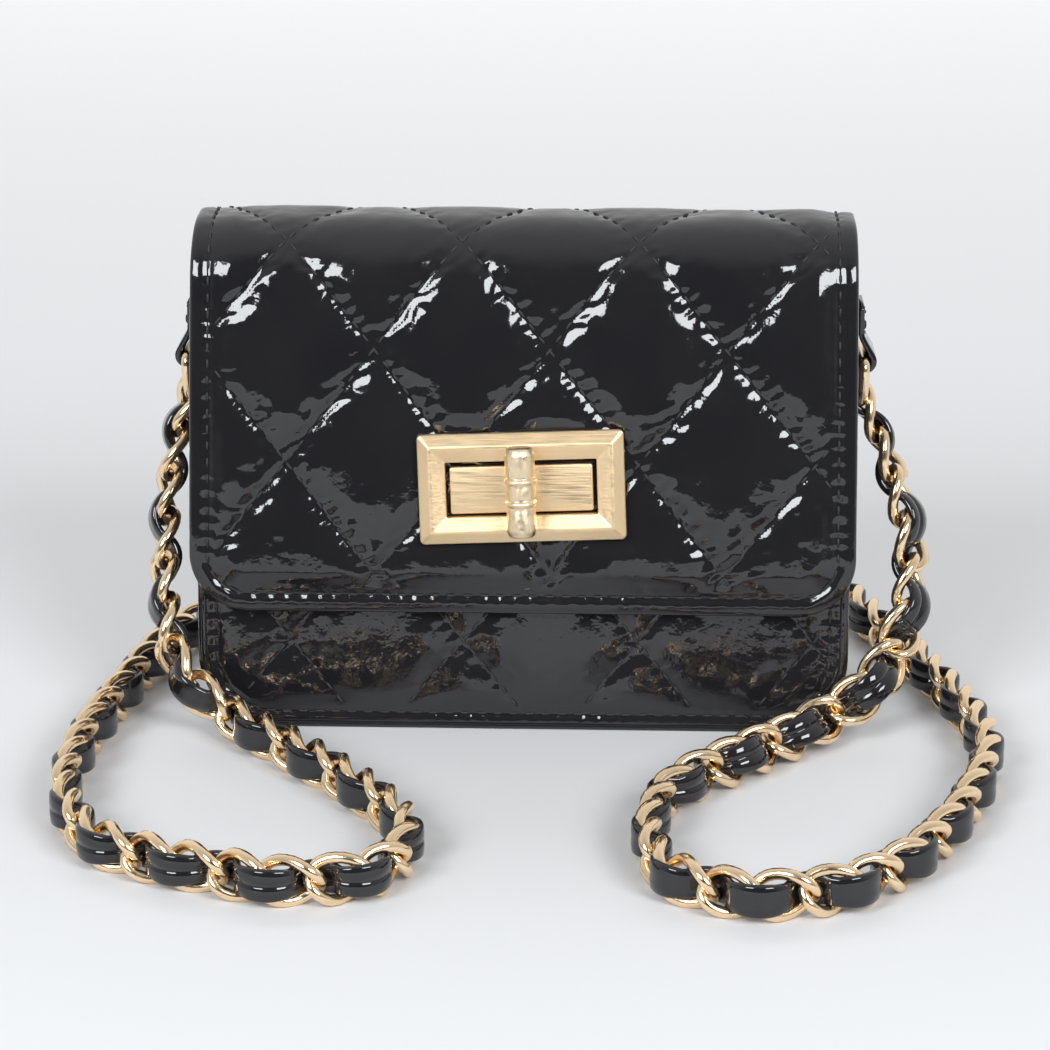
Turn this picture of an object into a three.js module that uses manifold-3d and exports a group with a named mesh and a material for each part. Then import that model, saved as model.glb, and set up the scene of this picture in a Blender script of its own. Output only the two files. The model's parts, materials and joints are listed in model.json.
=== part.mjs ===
// A mini flap purse: a wedge-shaped quilted body on a U-shaped gusset, a flap hinged at the back of the
// mouth, a turn lock on the flap, and a chain strap that hangs from a ring on each side.
// Millimetres, +Z up, +X to the wearer's right of the front, -Y towards the viewer of the front.
// The origin is the middle of the flat base.
import * as THREE from 'three';
import { mergeVertices } from 'three/addons/utils/BufferGeometryUtils.js';
import Module from 'manifold-3d';

// ---- driving dimensions ----
const BODY_W = 130;
const BODY_H = 94;
const BASE_D = 46;
const MOUTH_D = 20;
const CORNER_R = 15;
const PANEL_T = 2.4;
const GUSSET_T = 1.6;
const LINING_T = 0.6;
const BOARD_T = 1.5;
const GAP = 0.3;

const FLAP_OVERHANG = 1;
const FLAP_TOP_INSET = 0.2;
const FLAP_LOW_W = BODY_W + 2 * FLAP_OVERHANG;
const FLAP_TOP_W = BODY_W - 2 * FLAP_TOP_INSET;
const FLAP_LOW_Z = 26;
const FLAP_CORNER_R = 11;
const FLAP_T = 2.4;
const FLAP_LINING_T = 0.7;
const FLAP_STAND_OFF = 2.4;
const FLAP_TOP_GAP = 4.8;
const FLAP_FOLD_R = 9;
const TAIL_FOLD_R = 5;
const TAIL_H = 14;

const LOCK_RISE = 24.5;
const LOCK_Z = FLAP_LOW_Z + LOCK_RISE;
const LOCK_TILT = 2.2 * Math.PI / 180;
const FRAME_W = 41;
const FRAME_H = 22;
const FRAME_T = 3.2;
const FRAME_LIP_T = 1.2;
const WINDOW_W = 29;
const WINDOW_H = 10.9;
const FRAME_CREST = 2.3;
const DISH_DROP = 0.9;
const BASE_MARGIN = 0.8;
const LOCK_BASE_T = 1.5;
const PRONG_W = 3;
const PRONG_T = 0.8;
const PLATE_T = 0.7;
const PLATE_MARGIN_X = 1;
const PLATE_MARGIN_Y = 3;
const PLATE_CORNER_R = 1;

const KNOB_L = 17.7;
const KNOB_R = 3;
const KNOB_END_R = 3.1;
const KNOB_BEAD_R = 3.25;
const KNOB_BEAD_PITCH = 4.4;
const KNOB_BEAD_HALF = 0.55;
const KNOB_CHAMFER = 0.4;
const STEM_R = 2.2;
const PIN_R = 1.2;
const RUNNING = 0.1;
const WASHER_R = 3.4;
const WASHER_T = 0.6;

const MAGNET_R = 6.5;
const MAGNET_T = 1.3;
const MAGNET_RISE = 10;
const MAGNET_Z = FLAP_LOW_Z + MAGNET_RISE;

const TAB_W = 11;
const TAB_PLY = 1.2;
const TAB_DROP = 10;
const TAB_L = 11;
const TAB_TOP_Z = BODY_H - TAB_DROP;
const RING_Z = TAB_TOP_Z - TAB_L;
const RING_WIRE_R = 1.1;
const RING_INNER_W = 12.4;
const RING_DROP = 9.5;

const POCKET_MARGIN = 23;
const POCKET_DROP = 10;
const POCKET_H = 54;
const POCKET_CORNER_R = 2;
const POCKET_W = BODY_W - 2 * POCKET_MARGIN;
const POCKET_TOP_Z = BODY_H - POCKET_DROP;
const POCKET_LOW_Z = POCKET_TOP_Z - POCKET_H;
const POCKET_SET_OFF = 1.2;

const STRAP_D = 9.4;
const STRAP_STEPS = 62;
const STRAP_SIDES = 5;
const STRAP_Z = 4.8;
const STRAP_END_Z = 61.8;

// The strap's route from the left ring to the right one, chosen by hand.
const STRAP_ROUTE = [
  [-70.2, 0, STRAP_END_Z], [-71.6, -3, 52], [-73, -10, 36], [-72, -18, 25], [-70, -24.6, 17],
  [-64.5, -29, 10], [-57, -33, 5.8], [-44, -47.5, STRAP_Z], [-28, -69, STRAP_Z], [-19, -88, STRAP_Z],
  [-22.5, -104.5, STRAP_Z], [-37, -110.5, STRAP_Z], [-57, -104.5, STRAP_Z], [-75, -94, STRAP_Z],
  [-84.3, -74, STRAP_Z], [-85.8, -51, STRAP_Z], [-82.5, -21, STRAP_Z], [-73, 22, STRAP_Z],
  [-60, 36, STRAP_Z], [-38, 42, STRAP_Z], [-12, 43, STRAP_Z], [10, 53, STRAP_Z], [28, 67, STRAP_Z],
  [48, 71, STRAP_Z], [64, 60, STRAP_Z], [71.5, 39, STRAP_Z], [90, -25, STRAP_Z], [91, -50, STRAP_Z],
  [75, -94, STRAP_Z], [60, -110, STRAP_Z], [43.5, -113.5, STRAP_Z], [30.5, -106, STRAP_Z],
  [25.8, -88, STRAP_Z], [30, -66, STRAP_Z], [45, -46.5, STRAP_Z], [60, -30.3, 5.6], [71.2, -23.6, 12],
  [78.2, -13, 27], [75.8, -5, 46], [70.2, 0, STRAP_END_Z],
];

// How far a cutter, or a piece that is joined to another, runs past the face it meets.
const OVERRUN = 1;
const PIN_SIDES = 24;
const BOW_STEPS = 20;

// ---- what follows from them ----
const LEAN = Math.atan((BASE_D - MOUTH_D) / 2 / BODY_H);
const ACROSS = 1 / Math.cos(LEAN);
const halfDepth = (z) => BASE_D / 2 - z * Math.tan(LEAN);
const FLAP_WHOLE_T = FLAP_LINING_T + GAP + FLAP_T;

// ---- materials ----
const finish = (color, roughness, metalness) => new THREE.MeshStandardMaterial({ color, roughness, metalness });
const PATENT = finish(0x17171b, 0.15, 0);
const LINING = finish(0x202022, 0.85, 0);
const GOLD = finish(0xe3c08a, 0.28, 1);
const BOARD = finish(0x8a7a64, 0.9, 0);
const STEEL = finish(0xa9abb0, 0.35, 1);

// ---- solids: closed geometries that can be joined and cut ----
const wasm = await Module();
wasm.setup();

function solidOf(geometry) {
  const bare = geometry.clone();
  bare.deleteAttribute('normal');
  bare.deleteAttribute('uv');
  const merged = mergeVertices(bare, 1e-4);
  return new wasm.Manifold(new wasm.Mesh({
    numProp: 3,
    vertProperties: new Float32Array(merged.attributes.position.array),
    triVerts: new Uint32Array(merged.index.array),
  }));
}

function geometryOf(solid) {
  const mesh = solid.getMesh();
  const geometry = new THREE.BufferGeometry();
  geometry.setAttribute('position', new THREE.BufferAttribute(new Float32Array(mesh.vertProperties), 3));
  geometry.setIndex(new THREE.BufferAttribute(new Uint32Array(mesh.triVerts), 1));
  geometry.computeVertexNormals();
  return geometry;
}

const ALONG_X = new THREE.Matrix4().makeBasis(
  new THREE.Vector3(0, 1, 0), new THREE.Vector3(0, 0, 1), new THREE.Vector3(1, 0, 0));
const ALONG_Y = new THREE.Matrix4().makeBasis(
  new THREE.Vector3(1, 0, 0), new THREE.Vector3(0, 0, 1), new THREE.Vector3(0, -1, 0));

// A profile in (y, z), as thick as width along X and centred on x = 0.
function acrossX(points, width) {
  const shape = new THREE.Shape(points.map(([y, z]) => new THREE.Vector2(y, z)));
  const geometry = new THREE.ExtrudeGeometry(shape, { depth: width, bevelEnabled: false });
  return geometry.translate(0, 0, -width / 2).applyMatrix4(ALONG_X);
}

// An outline in (x, z), extruded from y0 to y1.
function acrossY(shape, y0, y1, curveSegments = 8) {
  const geometry = new THREE.ExtrudeGeometry(shape, { depth: y1 - y0, bevelEnabled: false, curveSegments });
  return geometry.applyMatrix4(ALONG_Y).translate(0, y1, 0);
}

// A plate in the xy plane from z0 to z1, made from a shape.
function plate(shape, z0, z1, curveSegments = 8) {
  const geometry = new THREE.ExtrudeGeometry(shape, { depth: z1 - z0, bevelEnabled: false, curveSegments });
  return geometry.translate(0, 0, z0);
}

// An outline with square top corners and round lower ones, open to a taper.
function pouchOutline(topHalf, lowHalf, topZ, lowZ, radius) {
  const shape = new THREE.Shape();
  shape.moveTo(topHalf, topZ);
  shape.lineTo(-topHalf, topZ);
  shape.lineTo(-lowHalf, lowZ + radius);
  shape.absarc(-lowHalf + radius, lowZ + radius, radius, Math.PI, 1.5 * Math.PI, false);
  shape.absarc(lowHalf - radius, lowZ + radius, radius, 1.5 * Math.PI, 2 * Math.PI, false);
  shape.closePath();
  return shape;
}

function rectangle(width, height, radius = 0) {
  const shape = new THREE.Shape();
  const x = width / 2 - radius;
  const y = height / 2 - radius;
  if (radius === 0) {
    shape.moveTo(-x, -y).lineTo(x, -y).lineTo(x, y).lineTo(-x, y).closePath();
    return shape;
  }
  shape.absarc(x, y, radius, 0, Math.PI / 2, false);
  shape.absarc(-x, y, radius, Math.PI / 2, Math.PI, false);
  shape.absarc(-x, -y, radius, Math.PI, 1.5 * Math.PI, false);
  shape.absarc(x, -y, radius, 1.5 * Math.PI, 2 * Math.PI, false);
  shape.closePath();
  return shape;
}

// A cylinder about the local z axis from z0 to z1.
const pin = (radius, z0, z1, sides = PIN_SIDES) =>
  new THREE.CylinderGeometry(radius, radius, z1 - z0, sides).rotateX(Math.PI / 2).translate(0, 0, (z0 + z1) / 2);

const purse = new THREE.Group();

function place(parent, name, geometry, material) {
  const mesh = new THREE.Mesh(geometry, material);
  mesh.name = name;
  parent.add(mesh);
  return mesh;
}

// The frame of a point on the front face: x across, y up along the face, z out of it.
function faceFrame(z, offset) {
  const group = new THREE.Group();
  const out = offset * Math.cos(LEAN);
  group.position.set(0, -halfDepth(z) - out, z + offset * Math.sin(LEAN));
  group.rotation.x = Math.PI / 2 - LEAN;
  group.updateMatrix();
  return group;
}

// ---- body: panels, gusset, board and lining ----

// The slab between two offsets inward from the outside of a leaning face.
function faceSlab(from, to, front, lowZ, topZ) {
  const side = front ? -1 : 1;
  const y = (z, inward) => side * (halfDepth(z) - inward * ACROSS);
  const points = [[y(lowZ, from), lowZ], [y(lowZ, to), lowZ], [y(topZ, to), topZ], [y(topZ, from), topZ]];
  return front ? points : points.reverse();
}

function panelSolid(front, from, to, inset, raise) {
  const slab = solidOf(acrossX(faceSlab(from, to, front, -OVERRUN, BODY_H), BODY_W + 2 * OVERRUN));
  const radius = CORNER_R - inset;
  const half = BODY_W / 2 - inset;
  const outline = pouchOutline(half, half, BODY_H + OVERRUN, raise, radius);
  return slab.intersect(solidOf(acrossY(outline, -BASE_D, BASE_D)));
}

// The space between two leaning planes set inward from the outside of both faces.
function wedge(inward) {
  const y = (z) => halfDepth(z) - inward * ACROSS;
  const low = -OVERRUN;
  const points = [[-y(low), low], [y(low), low], [y(BODY_H), BODY_H], [-y(BODY_H), BODY_H]];
  return solidOf(acrossX(points, BODY_W + 2 * OVERRUN));
}

// A U-shaped strip: the outline less its own inside.
function strip(inset, thickness, raise, floorThickness, inward) {
  const half = BODY_W / 2 - inset;
  const outer = pouchOutline(half, half, BODY_H, raise, CORNER_R - inset);
  const inner = pouchOutline(
    half - thickness, half - thickness, BODY_H + OVERRUN, raise + floorThickness, CORNER_R - inset - thickness);
  const shell = solidOf(acrossY(outer, -BASE_D, BASE_D)).subtract(solidOf(acrossY(inner, -BASE_D, BASE_D)));
  return shell.intersect(wedge(inward));
}

const magnetHole = (z0, z1) => pin(MAGNET_R + GAP, z0, z1);
const frontMagnetFrame = faceFrame(MAGNET_Z, 0);
const frontMagnetPocket = solidOf(
  magnetHole(-PANEL_T - OVERRUN, -PANEL_T + MAGNET_T + GAP).applyMatrix4(frontMagnetFrame.matrix));

place(purse, 'front_panel', geometryOf(panelSolid(true, 0, PANEL_T, 0, 0).subtract(frontMagnetPocket)), PATENT);
place(purse, 'back_panel', geometryOf(panelSolid(false, 0, PANEL_T, 0, 0)), PATENT);
place(purse, 'gusset', geometryOf(strip(0, GUSSET_T, 0, GUSSET_T, PANEL_T + GAP)), PATENT);

const LINING_INSET = GUSSET_T + GAP;
const LINING_FLOOR = GUSSET_T + GAP + BOARD_T + GAP;
const LINING_FROM = PANEL_T + GAP;
const LINING_TO = LINING_FROM + LINING_T;

place(purse, 'lining_front', geometryOf(
  panelSolid(true, LINING_FROM, LINING_TO, LINING_INSET, LINING_FLOOR)), LINING);
place(purse, 'lining_back', geometryOf(
  panelSolid(false, LINING_FROM, LINING_TO, LINING_INSET, LINING_FLOOR)), LINING);
place(purse, 'lining_gusset', geometryOf(
  strip(LINING_INSET, LINING_T, LINING_FLOOR, LINING_T, LINING_TO + GAP)), LINING);

// The board stiffens the flat of the base, between the gusset and the lining.
const boardDepth = 2 * (halfDepth(LINING_FLOOR) - (PANEL_T + GAP) * ACROSS);
place(purse, 'base_board', plate(rectangle(BODY_W - 2 * CORNER_R, boardDepth), 0, BOARD_T), BOARD)
  .position.set(0, 0, GUSSET_T + GAP);

// An open-topped pocket is sewn flat against the back lining.
const pocketFrom = LINING_TO + POCKET_SET_OFF;
const pocketOutline = pouchOutline(POCKET_W / 2, POCKET_W / 2, POCKET_TOP_Z, POCKET_LOW_Z, POCKET_CORNER_R);
place(purse, 'slip_pocket', geometryOf(
  solidOf(acrossX(faceSlab(pocketFrom, pocketFrom + LINING_T, false, 0, BODY_H), BODY_W))
    .intersect(solidOf(acrossY(pocketOutline, -BASE_D, BASE_D)))), LINING);

place(frontMagnetFrame, 'body_magnet', pin(MAGNET_R, -PANEL_T, -PANEL_T + MAGNET_T), STEEL);
purse.add(frontMagnetFrame);

// ---- flap: a sheet that runs over the mouth and down the front ----
const TOP_INNER_Z = BODY_H + FLAP_TOP_GAP;
const TOP_OUTER_Z = TOP_INNER_Z + FLAP_WHOLE_T;
const BACK_FOLD = {
  y: halfDepth(BODY_H) + GAP * ACROSS - TAIL_FOLD_R,
  z: TOP_INNER_Z - TAIL_FOLD_R,
};
const HINGE_Y = BACK_FOLD.y - GAP / 2;

// The centre of the front fold: its inner arc touches the top's inside and the front's inner plane.
const FRONT_FOLD_Z = TOP_INNER_Z - FLAP_FOLD_R;
const FRONT_FOLD = {
  y: (FLAP_FOLD_R - FLAP_STAND_OFF) * ACROSS - halfDepth(FRONT_FOLD_Z),
  z: FRONT_FOLD_Z,
};

const arc = (centre, radius, from, to, count = 6) => Array.from({ length: count + 1 }, (_, i) => {
  const angle = from + (to - from) * i / count;
  return [centre.y + radius * Math.cos(angle), centre.z + radius * Math.sin(angle)];
});

// The sheet between two offsets outward from the flap's inner side.
function flapProfile(from, to, lowZ) {
  const frontY = (z, offset) => -(halfDepth(z) + (FLAP_STAND_OFF + offset) * ACROSS);
  const edge = (offset) => [
    [HINGE_Y - GAP / 2, TOP_INNER_Z + offset],
    ...arc(FRONT_FOLD, FLAP_FOLD_R + offset, Math.PI / 2, Math.PI - LEAN),
    [frontY(lowZ, offset), lowZ],
  ];
  return [...edge(to), ...edge(from).reverse()];
}

const flapOutline = (inset) => pouchOutline(
  FLAP_TOP_W / 2 - inset, FLAP_LOW_W / 2 - inset, TOP_OUTER_Z + OVERRUN, FLAP_LOW_Z + inset, FLAP_CORNER_R - inset);

function flapSolid(from, to, inset) {
  const sheet = solidOf(acrossX(flapProfile(from, to, FLAP_LOW_Z - OVERRUN), FLAP_LOW_W + 2 * OVERRUN));
  return sheet.intersect(solidOf(acrossY(flapOutline(inset), -BASE_D, BASE_D)));
}

// The lock's frame stands on the flap's outer face; local z = 0 is that face.
const lock = faceFrame(LOCK_Z, FLAP_STAND_OFF + FLAP_WHOLE_T);
const tilt = new THREE.Group();
tilt.rotation.z = LOCK_TILT;
tilt.updateMatrix();
lock.add(tilt);
const lockMatrix = new THREE.Matrix4().multiplyMatrices(lock.matrix, tilt.matrix);

const PRONG_X = (WINDOW_W + FRAME_W) / 4;
const INSIDE = -FLAP_WHOLE_T;
const prongSlot = (x) => plate(rectangle(PRONG_T + 2 * GAP, PRONG_W + 2 * GAP), INSIDE - OVERRUN, GAP)
  .translate(x, 0, 0);
const pinHole = pin(PIN_R + GAP, INSIDE - OVERRUN, GAP);
const lockHoles = [prongSlot(-PRONG_X), prongSlot(PRONG_X), pinHole]
  .map((geometry) => solidOf(geometry.applyMatrix4(lockMatrix)))
  .reduce((sum, hole) => sum.add(hole));

const flapMagnetFrame = faceFrame(MAGNET_Z, FLAP_STAND_OFF + FLAP_LINING_T + GAP);
const flapMagnetPocket = solidOf(
  magnetHole(-GAP / 2, MAGNET_T + GAP).applyMatrix4(flapMagnetFrame.matrix));

place(purse, 'flap_outer', geometryOf(
  flapSolid(FLAP_LINING_T + GAP, FLAP_WHOLE_T, 0).subtract(lockHoles).subtract(flapMagnetPocket)), PATENT);
place(purse, 'flap_lining', geometryOf(flapSolid(0, FLAP_LINING_T, 0).subtract(lockHoles)), LINING);
place(flapMagnetFrame, 'flap_magnet', pin(MAGNET_R, 0, MAGNET_T), STEEL);
purse.add(flapMagnetFrame);

// The flap's tail is sewn to the back panel and turns over the back of the mouth.
function tailProfile() {
  const backY = (z, offset) => halfDepth(z) + (GAP + offset) * ACROSS;
  const lowZ = BODY_H - TAIL_H;
  const edge = (offset) => [
    [backY(lowZ, offset), lowZ],
    ...arc(BACK_FOLD, TAIL_FOLD_R + offset, LEAN, Math.PI / 2),
    [HINGE_Y + GAP / 2, TOP_INNER_Z + offset],
  ];
  return [...edge(FLAP_WHOLE_T), ...edge(0).reverse()];
}
place(purse, 'flap_tail', acrossX(tailProfile(), FLAP_TOP_W), PATENT);

// ---- turn lock ----
// A block with a rectangular foot at z0 and a rectangular top at z1, its four sides sloping between them.
function frustum(width, height, z0, topWidth, topHeight, z1) {
  const corners = (w, h, z) => [[-w / 2, -h / 2, z], [w / 2, -h / 2, z], [w / 2, h / 2, z], [-w / 2, h / 2, z]];
  const points = [...corners(width, height, z0), ...corners(topWidth, topHeight, z1)];
  const faces = [0, 2, 1, 0, 3, 2, 4, 5, 6, 4, 6, 7];
  for (let i = 0; i < 4; i += 1) {
    const j = (i + 1) % 4;
    faces.push(i, j, j + 4, i, j + 4, i + 4);
  }
  const geometry = new THREE.BufferGeometry();
  geometry.setAttribute('position', new THREE.BufferAttribute(new Float32Array(points.flat()), 3));
  geometry.setIndex(faces);
  return geometry;
}

// The frame rises from its rim to a crest and slopes down again to the window.
const CREST_W = FRAME_W - 2 * FRAME_CREST;
const CREST_H = FRAME_H - 2 * FRAME_CREST;
const FRAME_FOOT = GAP;
const frameTop = FRAME_FOOT + FRAME_T;
const frameBody = [
  solidOf(plate(rectangle(FRAME_W, FRAME_H), FRAME_FOOT, FRAME_FOOT + FRAME_LIP_T)),
  solidOf(frustum(FRAME_W, FRAME_H, FRAME_FOOT + FRAME_LIP_T, CREST_W, CREST_H, frameTop)),
].reduce((sum, piece) => sum.add(piece));
const frameDish = solidOf(frustum(WINDOW_W, WINDOW_H, frameTop - DISH_DROP, CREST_W, CREST_H, frameTop));
const frameWindow = solidOf(plate(rectangle(WINDOW_W, WINDOW_H), 0, frameTop + OVERRUN));
const prong = (x) => solidOf(
  plate(rectangle(PRONG_T, PRONG_W), INSIDE - PLATE_T - GAP, FRAME_FOOT + FRAME_LIP_T / 2).translate(x, 0, 0));
const frame = frameBody.subtract(frameDish).subtract(frameWindow).add(prong(-PRONG_X)).add(prong(PRONG_X));
place(tilt, 'lock_frame', geometryOf(frame), GOLD);

// A thin plate behind the lining takes the frame's prongs.
const plateFrom = INSIDE - GAP - PLATE_T;
const throughPlate = [plateFrom - OVERRUN, plateFrom + PLATE_T + OVERRUN];
const slot = (x) => solidOf(
  plate(rectangle(PRONG_T + 2 * GAP, PRONG_W + 2 * GAP), ...throughPlate).translate(x, 0, 0));
const washerSpace = solidOf(pin(WASHER_R + GAP, ...throughPlate));
const plateOutline = rectangle(FRAME_W - 2 * PLATE_MARGIN_X, FRAME_H - 2 * PLATE_MARGIN_Y, PLATE_CORNER_R);
const backPlate = solidOf(plate(plateOutline, plateFrom, plateFrom + PLATE_T));
place(tilt, 'lock_back_plate', geometryOf(
  backPlate.subtract(slot(-PRONG_X)).subtract(slot(PRONG_X)).subtract(washerSpace)), STEEL);

// The base plate lies in the window, and the knob's pin turns in it.
const basePlate = solidOf(plate(
  rectangle(WINDOW_W - 2 * BASE_MARGIN, WINDOW_H - 2 * BASE_MARGIN), GAP, GAP + LOCK_BASE_T));
place(tilt, 'lock_base', geometryOf(
  basePlate.subtract(solidOf(pin(PIN_R + RUNNING, 0, GAP + LOCK_BASE_T + OVERRUN)))), GOLD);

// The knob is a turned bar on a stem; at rest it stands across the window, locked.
const knobZ = frameTop + GAP + KNOB_BEAD_R;
function knobBar() {
  const half = KNOB_L / 2;
  const bead = KNOB_BEAD_PITCH / 2;
  const profile = [
    [0, -half], [KNOB_END_R - KNOB_CHAMFER, -half], [KNOB_END_R, -half + KNOB_CHAMFER],
    [KNOB_R, -bead - 2 * KNOB_BEAD_HALF], [KNOB_R, -bead - KNOB_BEAD_HALF],
    [KNOB_BEAD_R, -bead], [KNOB_R, -bead + KNOB_BEAD_HALF],
    [KNOB_R, bead - KNOB_BEAD_HALF], [KNOB_BEAD_R, bead],
    [KNOB_R, bead + KNOB_BEAD_HALF], [KNOB_R, bead + 2 * KNOB_BEAD_HALF],
    [KNOB_END_R, half - KNOB_CHAMFER], [KNOB_END_R - KNOB_CHAMFER, half], [0, half],
  ].map(([r, y]) => new THREE.Vector2(r, y));
  return new THREE.LatheGeometry(profile, PIN_SIDES).translate(0, 0, knobZ);
}
const stemFoot = GAP + LOCK_BASE_T + GAP;
const knob = solidOf(knobBar())
  .add(solidOf(pin(STEM_R, stemFoot, knobZ)))
  .add(solidOf(pin(PIN_R, plateFrom, stemFoot + OVERRUN)));
place(tilt, 'lock_knob', geometryOf(knob), GOLD);

// A washer holds the knob's pin on the inside.
const washer = solidOf(pin(WASHER_R, plateFrom, plateFrom + WASHER_T))
  .subtract(solidOf(pin(PIN_R + RUNNING, ...throughPlate)));
place(tilt, 'knob_washer', geometryOf(washer), STEEL);
purse.add(lock);

// ---- tabs and rings ----
const TAB_LOOP_R = RING_WIRE_R + GAP;
const TAB_X = BODY_W / 2 + GAP + TAB_LOOP_R + TAB_PLY;

function tabSolid(side) {
  const eye = new THREE.Shape();
  eye.absarc(TAB_X, RING_Z, TAB_LOOP_R + TAB_PLY, 0, 2 * Math.PI, false);
  const innerX = BODY_W / 2 + GAP;
  const strap = new THREE.Shape();
  strap.moveTo(innerX, RING_Z).lineTo(TAB_X, RING_Z + TAB_LOOP_R + TAB_PLY / 2);
  strap.lineTo(innerX + 2 * TAB_PLY, RING_Z + TAB_LOOP_R + 2 * TAB_PLY).lineTo(innerX + 2 * TAB_PLY, TAB_TOP_Z);
  strap.lineTo(innerX, TAB_TOP_Z).closePath();
  const bore = new THREE.Shape();
  bore.absarc(TAB_X, RING_Z, TAB_LOOP_R, 0, 2 * Math.PI, false);
  const solid = solidOf(acrossY(eye, -TAB_W / 2, TAB_W / 2))
    .add(solidOf(acrossY(strap, -TAB_W / 2, TAB_W / 2)))
    .subtract(solidOf(acrossY(bore, -TAB_W, TAB_W)));
  return side > 0 ? solid : solid.mirror([1, 0, 0]);
}

// A D-shaped ring: a straight bar in the tab's eye and a round bow below it.
class Bow extends THREE.Curve {
  getPoint(t, target = new THREE.Vector3()) {
    const angle = Math.PI * t;
    const half = RING_INNER_W / 2 + RING_WIRE_R;
    return target.set(0, -half * Math.cos(angle), -RING_DROP * Math.sin(angle));
  }
}

function ringGeometry() {
  const section = new THREE.Shape();
  section.absarc(0, 0, RING_WIRE_R, 0, 2 * Math.PI, false);
  const bow = new THREE.ExtrudeGeometry(section, { extrudePath: new Bow(), steps: BOW_STEPS, curveSegments: STRAP_SIDES });
  const half = RING_INNER_W / 2 + RING_WIRE_R;
  const bar = new THREE.CylinderGeometry(RING_WIRE_R, RING_WIRE_R, 2 * half + RING_WIRE_R, PIN_SIDES / 2);
  return geometryOf(solidOf(bow).add(solidOf(bar)));
}

for (const [side, word] of [[-1, 'left'], [1, 'right']]) {
  place(purse, `strap_tab_${word}`, geometryOf(tabSolid(side)), PATENT);
  place(purse, `strap_ring_${word}`, ringGeometry(), GOLD).position.set(side * TAB_X, 0, RING_Z);
}

// ---- strap ----
const strapSection = new THREE.Shape();
strapSection.absarc(0, 0, STRAP_D / 2, 0, 2 * Math.PI, false);
place(purse, 'chain_strap', new THREE.ExtrudeGeometry(strapSection, {
  extrudePath: new THREE.CatmullRomCurve3(STRAP_ROUTE.map((point) => new THREE.Vector3(...point))),
  steps: STRAP_STEPS,
  curveSegments: STRAP_SIDES,
}), GOLD);

export default purse;
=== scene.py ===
"""A quilted mini flap purse in black patent leather with a gold turn lock and a laced chain strap.

Lengths inside the classes are millimetres, and every mesh is made in metres. +Z is up, +X is to the right
as the front is seen, and the front faces -Y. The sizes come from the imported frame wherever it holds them.
"""

import json
import logging
import math
from dataclasses import dataclass, field
from enum import Enum
from typing import Any, Callable, Iterable, Sequence

import bpy
import numpy as np
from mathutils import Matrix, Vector


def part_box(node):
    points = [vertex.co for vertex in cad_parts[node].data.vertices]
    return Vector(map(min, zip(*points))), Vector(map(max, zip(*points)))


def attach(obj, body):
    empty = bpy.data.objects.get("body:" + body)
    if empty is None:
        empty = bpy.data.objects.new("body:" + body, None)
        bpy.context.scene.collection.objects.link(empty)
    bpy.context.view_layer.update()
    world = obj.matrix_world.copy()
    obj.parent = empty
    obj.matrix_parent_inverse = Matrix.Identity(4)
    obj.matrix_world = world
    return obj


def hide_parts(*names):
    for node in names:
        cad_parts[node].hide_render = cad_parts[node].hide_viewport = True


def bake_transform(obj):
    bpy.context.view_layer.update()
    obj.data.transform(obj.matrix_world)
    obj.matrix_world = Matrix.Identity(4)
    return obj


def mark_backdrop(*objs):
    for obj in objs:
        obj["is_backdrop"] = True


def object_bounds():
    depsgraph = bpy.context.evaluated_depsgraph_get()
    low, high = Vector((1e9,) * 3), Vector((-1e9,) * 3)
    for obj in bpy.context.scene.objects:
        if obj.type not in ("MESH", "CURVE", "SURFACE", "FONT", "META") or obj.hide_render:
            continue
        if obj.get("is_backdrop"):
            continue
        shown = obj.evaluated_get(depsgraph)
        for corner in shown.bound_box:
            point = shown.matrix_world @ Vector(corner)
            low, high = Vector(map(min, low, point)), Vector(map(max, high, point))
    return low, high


logging.basicConfig(level=logging.INFO, format="%(message)s")
LOG = logging.getLogger("purse")

MM = 0.001
Array = np.ndarray
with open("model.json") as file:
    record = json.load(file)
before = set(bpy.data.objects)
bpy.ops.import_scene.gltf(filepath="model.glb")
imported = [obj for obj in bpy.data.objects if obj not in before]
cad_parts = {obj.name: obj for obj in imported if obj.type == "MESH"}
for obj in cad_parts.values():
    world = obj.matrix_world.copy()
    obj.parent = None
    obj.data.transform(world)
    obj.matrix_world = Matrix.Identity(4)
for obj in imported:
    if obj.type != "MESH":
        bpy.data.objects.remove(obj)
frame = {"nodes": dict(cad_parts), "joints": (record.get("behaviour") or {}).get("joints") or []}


# ---- Shader maths ----
class Signal:
    """A number that varies over a surface: a socket with arithmetic."""

    def __init__(self, shader: "Shader", socket: Any) -> None:
        """Wraps a socket.

        Args:
            shader: the shader that the socket belongs to.
            socket: an output socket.
        """
        self.shader = shader
        self.socket = socket

    def _math(self, operation: str, first: Any, second: Any) -> "Signal":
        """Returns a Math node's answer."""
        return self.shader.node("ShaderNodeMath", {"operation": operation}, {0: first, 1: second})

    def __add__(self, other: Any) -> "Signal":
        """Returns self + other."""
        return self._math("ADD", self, other)

    def __mul__(self, other: Any) -> "Signal":
        """Returns self * other."""
        return self._math("MULTIPLY", self, other)


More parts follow.
